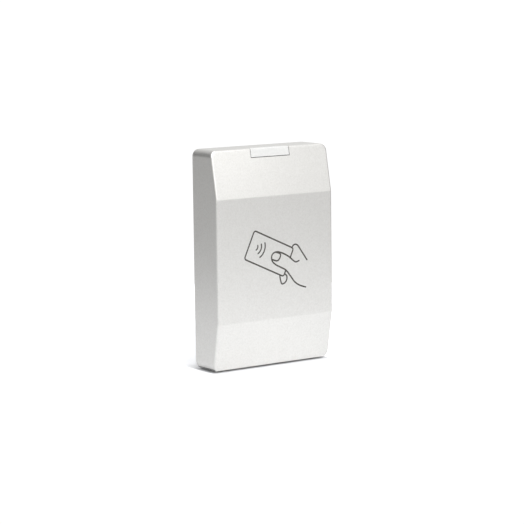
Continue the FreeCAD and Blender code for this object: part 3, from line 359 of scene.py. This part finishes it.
def pale_floor():
    """Plain white floor, brightened for the camera as in a catalogue picture except close to the reader's
    base, which is left darker as painted shade.
    """
    bpy.ops.mesh.primitive_circle_add(
        vertices=96, radius=FLOOR_RADIUS, fill_type="NGON", location=(0, 0, FLOOR_LEVEL)
    )
    floor = bpy.context.object
    floor.name = "floor"
    made, tree, shader = new_material("floor_white")
    shade = ramp(tree, noise(tree, 40), FLOOR_TONES)
    exposure_and_painted_shade = node(tree, "ShaderNodeMix", data_type="RGBA")
    seen = node(tree, "ShaderNodeLightPath").outputs["Is Camera Ray"]
    # Painted shade: to the camera the floor is brightened everywhere but near the base, so it stays darker
    # round the base.
    tree.links.new(multiply_colours(tree, seen, painted_shade_falloff(tree)), exposure_and_painted_shade.inputs["Factor"])
    exposure_and_painted_shade.inputs[COLOUR_A].default_value = WHITE
    exposure_and_painted_shade.inputs[COLOUR_B].default_value = (OVEREXPOSED, OVEREXPOSED, OVEREXPOSED, 1.0)
    lit = multiply_colours(tree, shade, exposure_and_painted_shade.outputs[COLOUR_RESULT])
    tree.links.new(lit, shader.inputs["Base Color"])
    shader.inputs["Roughness"].default_value = 0.9
    shader.inputs["Specular IOR Level"].default_value = 0.1
    floor.data.materials.append(made)


def soft_light(name, at, aim, size, watts):
    """A square soft box aimed at a point, in metres and watts."""
    data = bpy.data.lights.new(name, "AREA")
    data.size = size
    data.energy = watts
    lamp = bpy.data.objects.new(name, data)
    bpy.context.collection.objects.link(lamp)
    lamp.location = at
    lamp.rotation_euler = (Vector(aim) - Vector(at)).to_track_quat("-Z", "Y").to_euler()


def photo_camera():
    """A long lens, low and to the left of the reader's front."""
    azimuth, elevation, roll = (math.radians(angle) for angle in (-34.66, 8.04, -0.70))
    distance, shift_right, shift_up = 1111.3 * MM, -0.82 * MM, -3.37 * MM
    middle = (cad_low + cad_high) / 2
    back = Vector((
        math.sin(azimuth) * math.cos(elevation),
        -math.cos(azimuth) * math.cos(elevation),
        math.sin(elevation),
    ))
    right = (-back).cross(Vector((0, 0, 1))).normalized()
    up = right.cross(-back)
    rolled_right = right * math.cos(roll) + up * math.sin(roll)
    rolled_up = up * math.cos(roll) - right * math.sin(roll)
    data = bpy.data.cameras.new("camera")
    data.sensor_width = 36.0
    data.lens = 139.68
    data.clip_start = 0.01
    data.clip_end = 50.0
    camera = bpy.data.objects.new("camera", data)
    bpy.context.collection.objects.link(camera)
    at = middle + rolled_right * shift_right + rolled_up * shift_up + back * distance
    axes = Matrix((rolled_right, rolled_up, back)).transposed()
    camera.matrix_world = Matrix.Translation(at) @ axes.to_4x4()
    bpy.context.scene.camera = camera


white_surroundings()
pale_floor()
soft_light("overhead", (-0.20, -0.14, 0.88), (0.0, 0.0, 0.0), 0.5, 2.4)
soft_light("front_right", (0.20, -0.58, 0.34), (0.0, 0.0, 0.10), 0.40, 0.09)
soft_light("front_high", (0.0, -0.50, 0.50), (0.0, -0.05, 0.0), 0.30, 1.85)
soft_light("glint", (0.0, -0.06, 0.14), (-0.02, -0.008, 0.11), 0.06, 0.0015)
photo_camera()
bpy.context.scene.view_settings.view_transform = "Standard"


# ---------------------------------------------------------------- finishes on the CAD nodes

for part in frame["record"]["subparts"]:
    item = frame["nodes"][part["node"]]
    item.data.materials.clear()
    item.data.materials.append(MATERIALS[part["material_slot"]])


# ---------------------------------------------------------------- pieces

SHARP = math.radians(32)


def box_of(name):
    """The lowest and highest corner of a CAD node, in millimetres."""
    low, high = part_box(name)
    return low / MM, high / MM


# How far back the shell's front face and the board's face stand.
FRONT = cad_low.y / MM
BOARD_FACE = box_of("circuit_board")[0].y


def add_piece(name, mesh, body, material, smooth=True):
    """A new piece from a bmesh in millimetres. It rides on a body, or on none."""
    bmesh.ops.recalc_face_normals(mesh, faces=mesh.faces)
    bmesh.ops.scale(mesh, vec=(MM, MM, MM), verts=mesh.verts)
    data = bpy.data.meshes.new(name)
    mesh.to_mesh(data)
    mesh.free()
    if smooth:
        data.polygons.foreach_set("use_smooth", [True] * len(data.polygons))
        data.set_sharp_from_angle(angle=SHARP)
    data.materials.append(MATERIALS[material])
    made = bpy.data.objects.new(name, data)
    bpy.context.collection.objects.link(made)
    if body:
        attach(made, body)
    return made


def skin(mesh, rows, around=False, along=False):
    """Faces between rows of vertices, closed round each row or from the last row to the first if asked."""
    following = rows[1:] + rows[:1] if along else rows[1:]
    for row, after in zip(rows, following):
        pairs = list(zip(row, after))
        onward = pairs[1:] + pairs[:1] if around else pairs[1:]
        for (a, d), (b, c) in zip(pairs, onward):
            mesh.faces.new((a, b, c, d))


def capped_skin(mesh, rows):
    """Faces round rows of vertices and over both ends."""
    skin(mesh, rows, around=True)
    mesh.faces.new(rows[0])
    mesh.faces.new(rows[-1])


def islands(name):
    """The lowest and highest corner of each separate solid of a CAD node, in millimetres."""
    mesh = bmesh.new()
    mesh.from_mesh(frame["nodes"][name].data)
    bmesh.ops.remove_doubles(mesh, verts=mesh.verts, dist=1e-6)
    boxes = []
    waiting = set(mesh.verts)
    while waiting:
        reached = [waiting.pop()]
        group = []
        while reached:
            vert = reached.pop()
            group.append(vert.co / MM)
            for link in vert.link_edges:
                other = link.other_vert(vert)
                if other in waiting:
                    waiting.remove(other)
                    reached.append(other)
        low = Vector([min(point[axis] for point in group) for axis in range(3)])
        high = Vector([max(point[axis] for point in group) for axis in range(3)])
        boxes.append((low, high))
    mesh.free()
    return sorted(boxes, key=lambda pair: tuple(round(value, 2) for value in pair[0]))


def seen_middle(low, high):
    """The middle of a box as the front sees it: across and up."""
    return (low.x + high.x) / 2, (low.z + high.z) / 2


def smooth_path(points, steps=10):
    """A smooth line through given points."""
    spread = [Vector(points[0])] + [Vector(point) for point in points] + [Vector(points[-1])]
    path = []
    for before, start, end, after in zip(spread, spread[1:], spread[2:], spread[3:]):
        for step in range(steps):
            t = step / steps
            path.append(0.5 * (
                2 * start + (end - before) * t
                + (2 * before - 5 * start + 4 * end - after) * t * t
                + (3 * start - before - 3 * end + after) * t ** 3
            ))
    path.append(Vector(points[-1]))
    return path


def arc(centre, radius, start, stop, steps=8):
    """Points along an arc, angles in degrees."""
    points = []
    for step in range(steps + 1):
        angle = math.radians(start + (stop - start) * step / steps)
        points.append(Vector((centre[0] + radius * math.cos(angle), centre[1] + radius * math.sin(angle))))
    return points


def rounded_outline(low, high, radius, steps=6):
    """Points round a rectangle with round corners, counter-clockwise."""
    points = []
    for across, up, start in ((high, high, 0), (low, high, 90), (low, low, 180), (high, low, 270)):
        inward_x = -radius if across is high else radius
        inward_y = -radius if up is high else radius
        points += arc((across[0] + inward_x, up[1] + inward_y), radius, start, start + 90, steps)
    return points


CAP_STEPS = 5
CAP_NARROWEST = 0.04
# A line's section: how far aside and how high, as shares of its half width and of its height.
RIDGE = ((1.0, -0.5), (0.86, 0.85), (0.0, 1.0), (-0.86, 0.85), (-1.0, -0.5))


def flat_line(mesh, path, half_width, base, proud, closed=False):
    """A printed or etched line: a low ridge with round ends, along a path on a plane that faces the front."""
    sections = []
    for index, point in enumerate(path):
        before = path[index - 1] if index or closed else point
        after = path[(index + 1) % len(path)] if index < len(path) - 1 or closed else point
        sections.append((point, (after - before).normalized(), half_width))
    if not closed:
        first, last = sections[0], sections[-1]
        for step in range(1, CAP_STEPS + 1):
            angle = math.pi / 2 * step / CAP_STEPS
            reach = half_width * math.sin(angle)
            narrow = half_width * max(math.cos(angle), CAP_NARROWEST)
            sections.insert(0, (first[0] - first[1] * reach, first[1], narrow))
            sections.append((last[0] + last[1] * reach, last[1], narrow))
    rows = []
    for point, along, half in sections:
        aside = Vector((-along.y, along.x)) * half
        row = []
        for share, height in RIDGE:
            at = point + aside * share
            row.append(mesh.verts.new((at.x, base - proud * height, at.y)))
        rows.append(row)
    if closed:
        skin(mesh, rows, around=True, along=True)
    else:
        capped_skin(mesh, rows)


def turned(mesh, centre, base, profile, steps, hollow=False):
    """A round form on a plane that faces the front, closed at its end unless hollow.

    The profile is pairs of a radius and how proud of the plane the form stands there.
    """
    rows = []
    for radius, proud in profile:
        circle = arc(centre, radius, 0, 360 - 360 / steps, steps - 1)
        rows.append([mesh.verts.new((at.x, base - proud, at.y)) for at in circle])
    skin(mesh, rows, around=True)
    if not hollow:
        mesh.faces.new(rows[-1])


DISC_FOOT = -0.5
DISC_TOP = 0.94


def disc(mesh, centre, radius, base, proud, hole=0.0):
    """A round pad or dot on a plane that faces the front, with a hole if asked."""
    profile = [(radius, DISC_FOOT * proud), (DISC_TOP * radius, proud)]
    if hole:
        profile.append((hole, proud))
    turned(mesh, centre, base, profile, steps=24, hollow=hole > 0)


def block(mesh, low, high, edge):
    """A box with every edge taken off."""
    made = bmesh.ops.create_cube(mesh, size=1.0)["verts"]
    middle = (low + high) / 2
    for vert in made:
        vert.co = Vector([middle[axis] + vert.co[axis] * (high[axis] - low[axis]) for axis in range(3)])
    edges = {link for vert in made for link in vert.link_edges}
    bmesh.ops.bevel(mesh, geom=list(edges), offset=edge, segments=2, affect="EDGES")


# ---------------------------------------------------------------- the print on the front

# The pictogram is drawn in its card's own frame: across the card and up it, in millimetres.
CARD_CENTRE = Vector((-4.4, 62.8))
CARD_TILT = math.radians(-24.6)
CARD_HALF = Vector((14.1, 8.2))
CARD_CORNER = 1.3
# Where the hand covers the card's right edge, the outline stops.
CARD_EDGE_ABOVE_HAND = 2.6
CARD_EDGE_BELOW_HAND = -4.6
STROKE = 0.44
THUMB = [(20.3, 3.2), (18.6, 1.9), (16.4, 2.1), (13.0, 3.0), (8.5, 3.3), (4.8, 2.8), (2.6, 1.2), (2.2, -0.8),
         (3.6, -3.0), (6.6, -4.0), (10.4, -4.2), (14.2, -4.5), (18.0, -6.2), (22.4, -8.4), (26.4, -9.0),
         (30.4, -8.6)]
NAIL = [(4.0, 2.3), (6.6, 2.5), (7.6, 1.6), (7.4, -0.8), (6.2, -1.9), (3.2, -2.2)]
FINGER = [(13.0, 8.6), (13.6, 10.1), (15.2, 10.8), (17.0, 10.2), (20.8, 8.0), (25.2, 5.5)]
FINGERTIP = [(11.6, -8.6), (12.9, -10.6), (14.6, -12.2), (16.2, -11.2), (16.8, -9.2), (16.0, -7.2),
             (14.4, -6.6)]
WAVE_STROKE = 0.42
WAVE_CENTRE = (-10.6, 0.3)
WAVE_RADII = (2.2, 4.6, 7.0)
WAVE_HALF_ANGLE = 36
PRINT_PROUD = 0.025
# Strokes that cross differ this much in height, so that their tops don't coincide.
STROKE_STEP = 0.001


def pictogram():
    """A hand that holds a card, with three waves on the card."""
    turn = Matrix.Rotation(CARD_TILT, 2)
    outline = rounded_outline(-CARD_HALF, CARD_HALF, CARD_CORNER)
    above = Vector((CARD_HALF.x, CARD_EDGE_ABOVE_HAND))
    below = Vector((CARD_HALF.x, CARD_EDGE_BELOW_HAND))
    card = [above] + outline + [below]
    strokes = [card] + [smooth_path(line) for line in (THUMB, NAIL, FINGER, FINGERTIP)]
    waves = [arc(WAVE_CENTRE, radius, -WAVE_HALF_ANGLE, WAVE_HALF_ANGLE, steps=16) for radius in WAVE_RADII]
    mesh = bmesh.new()
    for index, line in enumerate(strokes + waves):
        half = STROKE if index < len(strokes) else WAVE_STROKE
        placed = [turn @ point + CARD_CENTRE for point in line]
        flat_line(mesh, placed, half, FRONT, PRINT_PROUD + STROKE_STEP * index)
    return add_piece("pictogram", mesh, "reader", "printed_ink")


# ---------------------------------------------------------------- the antenna coil

WIRE = 0.44
WIRE_SIDES = 8
COLUMNS = 9
LAYERS = 6
LAYER_STEP = WIRE * math.sqrt(3) / 2
COIL_CORNER = 9.0
# How far a turn is out of its place.
UNEVEN = 0.01


def wire_section(mesh, middle, outward, thickness):
    """Vertices round a wire at one point, given the direction that leads out of its curve."""
    row = []
    for side in range(WIRE_SIDES):
        angle = math.tau * side / WIRE_SIDES
        at = middle + outward * (thickness / 2 * math.cos(angle))
        at.y += thickness / 2 * math.sin(angle)
        row.append(mesh.verts.new(at))
    return row


def wire_loop(mesh, outline, depth):
    """One turn of round wire along a closed outline."""
    rows = []
    for index, point in enumerate(outline):
        along = (outline[(index + 1) % len(outline)] - outline[index - 1]).normalized()
        middle = Vector((point.x, depth, point.y))
        rows.append(wire_section(mesh, middle, Vector((-along.y, 0, along.x)), WIRE))
    skin(mesh, rows, around=True, along=True)


def coil_winding():
    """The coil's turns of enamelled wire, laid in each other's grooves, without those that others hide."""
    low, high = box_of("antenna_coil")
    mesh = bmesh.new()
    for layer in range(LAYERS):
        shifted = layer % 2
        count = COLUMNS - shifted
        for column in range(count):
            if 0 < layer < LAYERS - 1 and 0 < column < count - 1:
                continue
            inset = WIRE * (column + 0.5 + shifted / 2) + UNEVEN * math.sin(3 * layer + 5 * column)
            inner_low = Vector((low.x + inset, low.z + inset))
            inner_high = Vector((high.x - inset, high.z - inset))
            outline = rounded_outline(inner_low, inner_high, COIL_CORNER - inset, steps=8)
            wire_loop(mesh, outline, high.y - WIRE / 2 - LAYER_STEP * layer)
    made = add_piece("coil_winding", mesh, "reader", "copper_winding")
    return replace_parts(made, "antenna_coil")


# ---------------------------------------------------------------- the lock screw

AROUND = 48
HEAD_HEIGHT = 1.3
HEAD_ROUND = 0.4
HEAD_ROUND_STEPS = 6
HEAD_SEAT_EDGE = 0.06
SHANK_RADIUS = 1.45
SHANK_FILLET = 0.12
# The thread's rows begin this far from the head and stop this far from the tip.
THREAD_MARGIN = 0.2
THREAD_FADE = 0.4
THREAD_PITCH = 0.5
THREAD_DEPTH = 0.24
# How steep the thread's flanks are: above 2, its root is flat.
FLANK = 2.4
ROWS_PER_TURN = 8
# Where the tip's bevel begins, and how far inside the shank's radius it begins and ends.
TIP_HEIGHT = 0.15
TIP_SHOULDER = 0.05
TIP_END = 0.35
SOCKET_HALF = 1.25
SOCKET_DEEPEST = 0.95
SOCKET_MIDDLE = 0.02
# The socket's wall from its floor up: depth, and how far outside the hexagon it stands.
SOCKET = ((0.80, -0.06), (0.10, -0.02), (0.0, 0.08))


def hexagon(apothem, angle):
    """Distance from the middle of a hexagon to its edge, at an angle."""
    return apothem / math.cos((angle % (math.pi / 3)) - math.pi / 6)


def lock_screw():
    """Machine screw with a round head, a hexagon socket and a real thread."""
    low, high = box_of("lock_screw")
    centre = (low + high) / 2
    head = (high.x - low.x) / 2
    head_top = low.z + HEAD_HEIGHT
    mesh = bmesh.new()
    rows = []

    def ring(height, radius):
        """A row round the axis. The radius is a number, or says what it is at an angle."""
        row = []
        for step in range(AROUND):
            angle = math.tau * step / AROUND
            size = radius(angle) if callable(radius) else radius
            across = centre.x + size * math.cos(angle)
            row.append(mesh.verts.new((across, centre.y + size * math.sin(angle), height)))
        rows.append(row)

    def thread(height):
        """Radius at an angle on a helix that rises to the right, fading in at both ends."""
        from_start = (height - head_top - THREAD_MARGIN) / THREAD_FADE
        from_end = (high.z - TIP_HEIGHT - height) / THREAD_FADE
        fade = max(min(1.0, from_start, from_end), 0.0)

        def radius(angle):
            phase = (height / THREAD_PITCH - angle / math.tau) % 1
            return SHANK_RADIUS - THREAD_DEPTH * fade * min(1.0, FLANK * abs(phase - 0.5))

        return radius

    ring(low.z + SOCKET_DEEPEST, SOCKET_MIDDLE)
    for depth, outside in SOCKET:
        ring(low.z + depth, lambda angle: hexagon(SOCKET_HALF, angle) + outside)
    for step in range(HEAD_ROUND_STEPS + 1):
        angle = math.pi / 2 * step / HEAD_ROUND_STEPS
        drop = HEAD_ROUND * (1 - math.sin(angle))
        ring(low.z + HEAD_ROUND * (1 - math.cos(angle)), head - drop)
    ring(head_top - HEAD_SEAT_EDGE, head)
    ring(head_top, head - HEAD_SEAT_EDGE)
    ring(head_top, SHANK_RADIUS + SHANK_FILLET)
    ring(head_top + SHANK_FILLET, SHANK_RADIUS)
    first = head_top + THREAD_MARGIN
    count = int((high.z - THREAD_MARGIN - first) / THREAD_PITCH * ROWS_PER_TURN)
    for step in range(count):
        height = first + step * THREAD_PITCH / ROWS_PER_TURN
        ring(height, thread(height))
    ring(high.z - TIP_HEIGHT, SHANK_RADIUS - TIP_SHOULDER)
    ring(high.z, SHANK_RADIUS - TIP_END)
    capped_skin(mesh, rows)
    made = add_piece("lock_screw_threaded", mesh, "lock_screw", "steel_screw")
    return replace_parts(made, "lock_screw")


# ---------------------------------------------------------------- the tamper switch's spring

SPRING_WIRE = 0.18
SPRING_TURNS = 3
STEPS_PER_TURN = 48


def tamper_coil():
    """The switch's coil spring, from the switch's floor to the plunger, on no body."""
    low, high = box_of("tamper_spring")
    centre = (low + high) / 2
    radius = (high.z - low.z - SPRING_WIRE) / 2
    front = low.y + SPRING_WIRE / 2
    back = high.y - SPRING_WIRE / 2
    mesh = bmesh.new()
    rows = []
    steps = SPRING_TURNS * STEPS_PER_TURN
    for step in range(steps + 1):
        turn = math.tau * step / STEPS_PER_TURN
        outward = Vector((math.cos(turn), 0, math.sin(turn)))
        middle = Vector((centre.x, front + (back - front) * step / steps, centre.z)) + outward * radius
        rows.append(wire_section(mesh, middle, outward, SPRING_WIRE))
    capped_skin(mesh, rows)
    made = add_piece("tamper_coil", mesh, None, "spring_steel")
    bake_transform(made)
    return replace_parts(made, "tamper_spring")


# ---------------------------------------------------------------- the board's copper, pads and legend

COPPER = 0.035
TRACE = 0.15
# Each straight run of a trace stops this share of its length short of a corner, which cuts the corner.
CORNER_CUT = 0.04
# Traces as corners in millimetres on the board's face.
TRACES = [
    [(-2.5, 33.8), (-4.1, 32.2), (-9.6, 32.2)],
    [(2.5, 33.8), (2.5, 33.2), (0.7, 31.4), (-9.6, 31.4)],
    [(-9.6, 29.8), (-7.5, 29.8), (-6.9, 29.2), (-6.9, 21.6), (-6.3, 21.0), (1.4, 21.0)],
    [(-9.6, 29.0), (-8.2, 29.0), (-7.6, 28.4), (-7.6, 21.2), (-6.6, 20.2), (1.4, 20.2)],
    [(-9.6, 28.2), (-8.8, 28.2), (-8.3, 27.7), (-8.3, 20.9), (-6.8, 19.4), (1.4, 19.4)],
    [(10.6, 18.4), (14.4, 18.4)],
    [(-0.35, 105.0), (-0.35, 31.0), (3.2, 27.4), (3.2, 24.6)],
    [(0.0, 105.4), (0.0, 31.2), (4.0, 27.2), (4.0, 24.6)],
    [(0.35, 105.0), (0.35, 31.4), (4.8, 27.0), (4.8, 24.6)],
    [(-7.5, 105.8), (-7.5, 105.2), (-7.1, 104.8), (-0.6, 104.8)],
    [(7.5, 105.8), (7.5, 105.2), (7.1, 104.8), (0.6, 104.8)],
    [(-7.5, 110.9), (-7.5, 107.9)],
    [(0.0, 110.9), (0.0, 107.9)],
    [(7.5, 110.9), (7.5, 107.9)],
    [(8.75, 34.0), (11.8, 37.0), (16.2, 37.0), (17.0, 36.2)],
    [(6.25, 34.0), (10.0, 37.7), (19.5, 37.7), (21.0, 36.2)],
    [(-20.6, 13.0), (-17.6, 13.0), (-16.4, 14.2)],
    [(-24.0, 14.6), (-24.0, 17.2)],
    [(-8.75, 34.0), (-8.75, 35.6), (-10.0, 36.8)],
]
VIAS = [(-0.6, 104.8), (0.6, 104.8), (14.4, 18.4), (-20.6, 13.0), (12.0, 12.0), (-27.5, 34.0), (27.5, 12.0),
        (-10.0, 100.0), (10.0, 100.0), (-29.5, 60.0), (29.5, 60.0), (-29.5, 75.0), (29.5, 75.0)]
VIA_PAD = 0.45
VIA_HOLE = 0.15
PAD_PROUD = 1.2 * COPPER
PIN_PAD = 0.85
PIN_HOLE = 0.5
PIN_SOLDER = 0.72
LEAD_PAD = 0.95
LEAD_SOLDER = 0.85
LEAD_RADIUS = 0.3
SOLDER_HEIGHT = 0.8
# A fillet of solder from its foot up: shares of its radius and of its height.
SOLDER = ((1.0, -0.02), (0.80, 0.16), (0.62, 0.40), (0.50, 0.70), (0.40, 0.92), (0.18, 1.0))
LAND_UNDER = 0.3
LAND_BEYOND = 0.35
LAND_BESIDE = 0.08
LAND_EDGE = 0.015
# How much of each small part's length its plated ends cover.
PLATED = {"chip_resistors": 0.28, "chip_capacitors": 0.42}
PLATING = Vector((0.02, 0.02, 0.02))
PLATING_EDGE = 0.03


def board_traces():
    """Etched tracks under the green mask, a little proud of the board."""
    mesh = bmesh.new()
    for trace in TRACES:
        path = []
        for start, end in zip(trace, trace[1:]):
            start, end = Vector(start), Vector(end)
            path += [start.lerp(end, share) for share in (CORNER_CUT, 1 - CORNER_CUT)]
        flat_line(mesh, path, TRACE, BOARD_FACE, COPPER)
    return add_piece("board_traces", mesh, "reader", "mask_over_copper")


def solder_cone(mesh, centre, radius):
    """A fillet of solder on the board, hollow-sided and round-topped."""
    profile = [(radius * share, SOLDER_HEIGHT * rise) for share, rise in SOLDER]
    turned(mesh, centre, BOARD_FACE, profile, steps=20)


def board_pads():
    """Bare plated pads: rings round the pins, dots at the vias, lands under small parts, solder on leads."""
    mesh = bmesh.new()
    for via in VIAS:
        disc(mesh, via, VIA_PAD, BOARD_FACE, PAD_PROUD, VIA_HOLE)
    for low, high in islands("connector_pins"):
        centre = seen_middle(low, high)
        disc(mesh, centre, PIN_PAD, BOARD_FACE, PAD_PROUD, PIN_HOLE)
        solder_cone(mesh, centre, PIN_SOLDER)
    for low, high in islands("coil_leads"):
        centre = ((low.x + high.x) / 2, low.z + LEAD_RADIUS)
        disc(mesh, centre, LEAD_PAD, BOARD_FACE, PAD_PROUD)
        solder_cone(mesh, centre, LEAD_SOLDER)
    for name in PLATED:
        for low, high in islands(name):
            lower_land = (low.z - LAND_BEYOND, low.z + LAND_UNDER)
            upper_land = (high.z - LAND_UNDER, high.z + LAND_BEYOND)
            for bottom, top in (lower_land, upper_land):
                land_low = Vector((low.x - LAND_BESIDE, BOARD_FACE - COPPER, bottom))
                land_high = Vector((high.x + LAND_BESIDE, BOARD_FACE + COPPER, top))
                block(mesh, land_low, land_high, LAND_EDGE)
    return add_piece("board_pads", mesh, "reader", "tinned_lead")


def chip_ends():
    """Plated ends over the chip resistors and capacitors."""
    mesh = bmesh.new()
    for name, cover in PLATED.items():
        for low, high in islands(name):
            for bottom, top in ((low.z, low.z + cover), (high.z - cover, high.z)):
                end_low = Vector((low.x, low.y, bottom)) - PLATING
                end_high = Vector((high.x, BOARD_FACE, top)) + PLATING
                block(mesh, end_low, end_high, PLATING_EDGE)
    return add_piece("chip_ends", mesh, "reader", "tinned_lead")


LEGEND = 0.02
LEGEND_STROKE = 0.08
LEGEND_CORNER = 0.3
LEGEND_DOT = 0.3
LEGEND_DOT_ASIDE = 0.6
# How far outside each part its outline runs.
LEGEND_MARGINS = {
    "reader_chip": 1.4, "microcontroller": 1.4, "crystal": 0.5, "power_inductor": 0.5,
    "surge_suppressors": 0.4, "bulk_capacitors": 0.4, "wire_connector": 0.0,
}
BUZZER_MARGIN = 0.4
CHIPS = ("reader_chip", "microcontroller")


def board_legend():
    """White outlines round the parts and a dot at each chip's first lead, with no lettering."""
    mesh = bmesh.new()
    for name, margin in LEGEND_MARGINS.items():
        for low, high in islands(name):
            low_corner = Vector((low.x - margin, low.z - margin))
            high_corner = Vector((high.x + margin, high.z + margin))
            outline = rounded_outline(low_corner, high_corner, LEGEND_CORNER, steps=2)
            flat_line(mesh, outline, LEGEND_STROKE, BOARD_FACE, LEGEND, closed=True)
            if name in CHIPS:
                dot = (low_corner.x - LEGEND_DOT_ASIDE, high_corner.y)
                disc(mesh, dot, LEGEND_DOT, BOARD_FACE, LEGEND)
    low, high = box_of("buzzer")
    circle = arc(seen_middle(low, high), (high.x - low.x) / 2 + BUZZER_MARGIN, 0, 352, steps=47)
    flat_line(mesh, circle, LEGEND_STROKE, BOARD_FACE, LEGEND, closed=True)
    return add_piece("board_legend", mesh, "reader", "legend_white")


CAN_MARK_RADIUS = 2.85
CAN_MARK_ANGLES = (130, 230)
CAN_MARK_PROUD = 0.015
CAN_MARK_SUNK = 0.01


def can_marks():
    """The dark segment on each capacitor's can that marks its negative side."""
    mesh = bmesh.new()
    for low, high in islands("bulk_capacitors"):
        segment = arc(seen_middle(low, high), CAN_MARK_RADIUS, *CAN_MARK_ANGLES, steps=16)
        top = [mesh.verts.new((at.x, low.y - CAN_MARK_PROUD, at.y)) for at in segment]
        foot = [mesh.verts.new((at.x, low.y + CAN_MARK_SUNK, at.y)) for at in segment]
        skin(mesh, [top, foot], around=True)
        mesh.faces.new(top)
    return add_piece("can_marks", mesh, "reader", "printed_ink", smooth=False)


GEL_RADIUS = 1.1
# The gel from its rim in: share of its radius, and how far below the LED's face it stands.
GEL = ((1.0, 0.08), (0.8, 0.05), (0.4, 0.025), (0.1, 0.02))


def led_phosphor():
    """The yellow-white gel that fills each LED's well, slightly domed."""
    mesh = bmesh.new()
    profile = [(GEL_RADIUS * share, -sunk) for share, sunk in GEL]
    for low, high in islands("status_leds"):
        turned(mesh, seen_middle(low, high), low.y, profile, steps=24)
    return add_piece("led_phosphor", mesh, "reader", "led_gel")


# ---------------------------------------------------------------- second finishes on CAD nodes

UNPAINTED_DEPTH = 1.2
RIM_DEPTH = 0.8
# Each sloped end of the front: its height, and how far back it falls.
SLOPE_HEIGHT = 26.4
SLOPE_FALL = 5.0
CAPACITOR_BASE = 1.05


def recolour(name, material, chosen):
    """A second material on the faces of a CAD node that the test picks by their centre, in millimetres."""
    data = frame["nodes"][name].data
    data.materials.append(MATERIALS[material])
    for face in data.polygons:
        if chosen(face.center / MM):
            face.material_index = len(data.materials) - 1


def shell_front(height):
    """Where the shell's front face stands at a height: it falls back towards the top and the bottom."""
    beyond = max(SLOPE_HEIGHT - height, height - (cad_high.z / MM - SLOPE_HEIGHT), 0.0)
    return FRONT + SLOPE_FALL * beyond / SLOPE_HEIGHT


def inside_shell(centre):
    """Whether a face of the shell is one that paint doesn't reach: behind the walls and the front."""
    across = abs(centre.x) < cad_high.x / MM - UNPAINTED_DEPTH
    along = UNPAINTED_DEPTH < centre.z < cad_high.z / MM - UNPAINTED_DEPTH
    behind_front = centre.y > shell_front(centre.z) + UNPAINTED_DEPTH
    before_rim = centre.y < cad_high.y / MM - RIM_DEPTH
    return across and along and behind_front and before_rim


def capacitor_base(centre):
    """Whether a face is on a capacitor's moulded base and not on its can."""
    return centre.y > BOARD_FACE - CAPACITOR_BASE


recolour("front_housing", "bare_abs", inside_shell)
recolour("bulk_capacitors", "black_moulding", capacitor_base)
pictogram()
coil_winding()
lock_screw()
tamper_coil()
board_traces()
board_pads()
chip_ends()
board_legend()
can_marks()
led_phosphor()
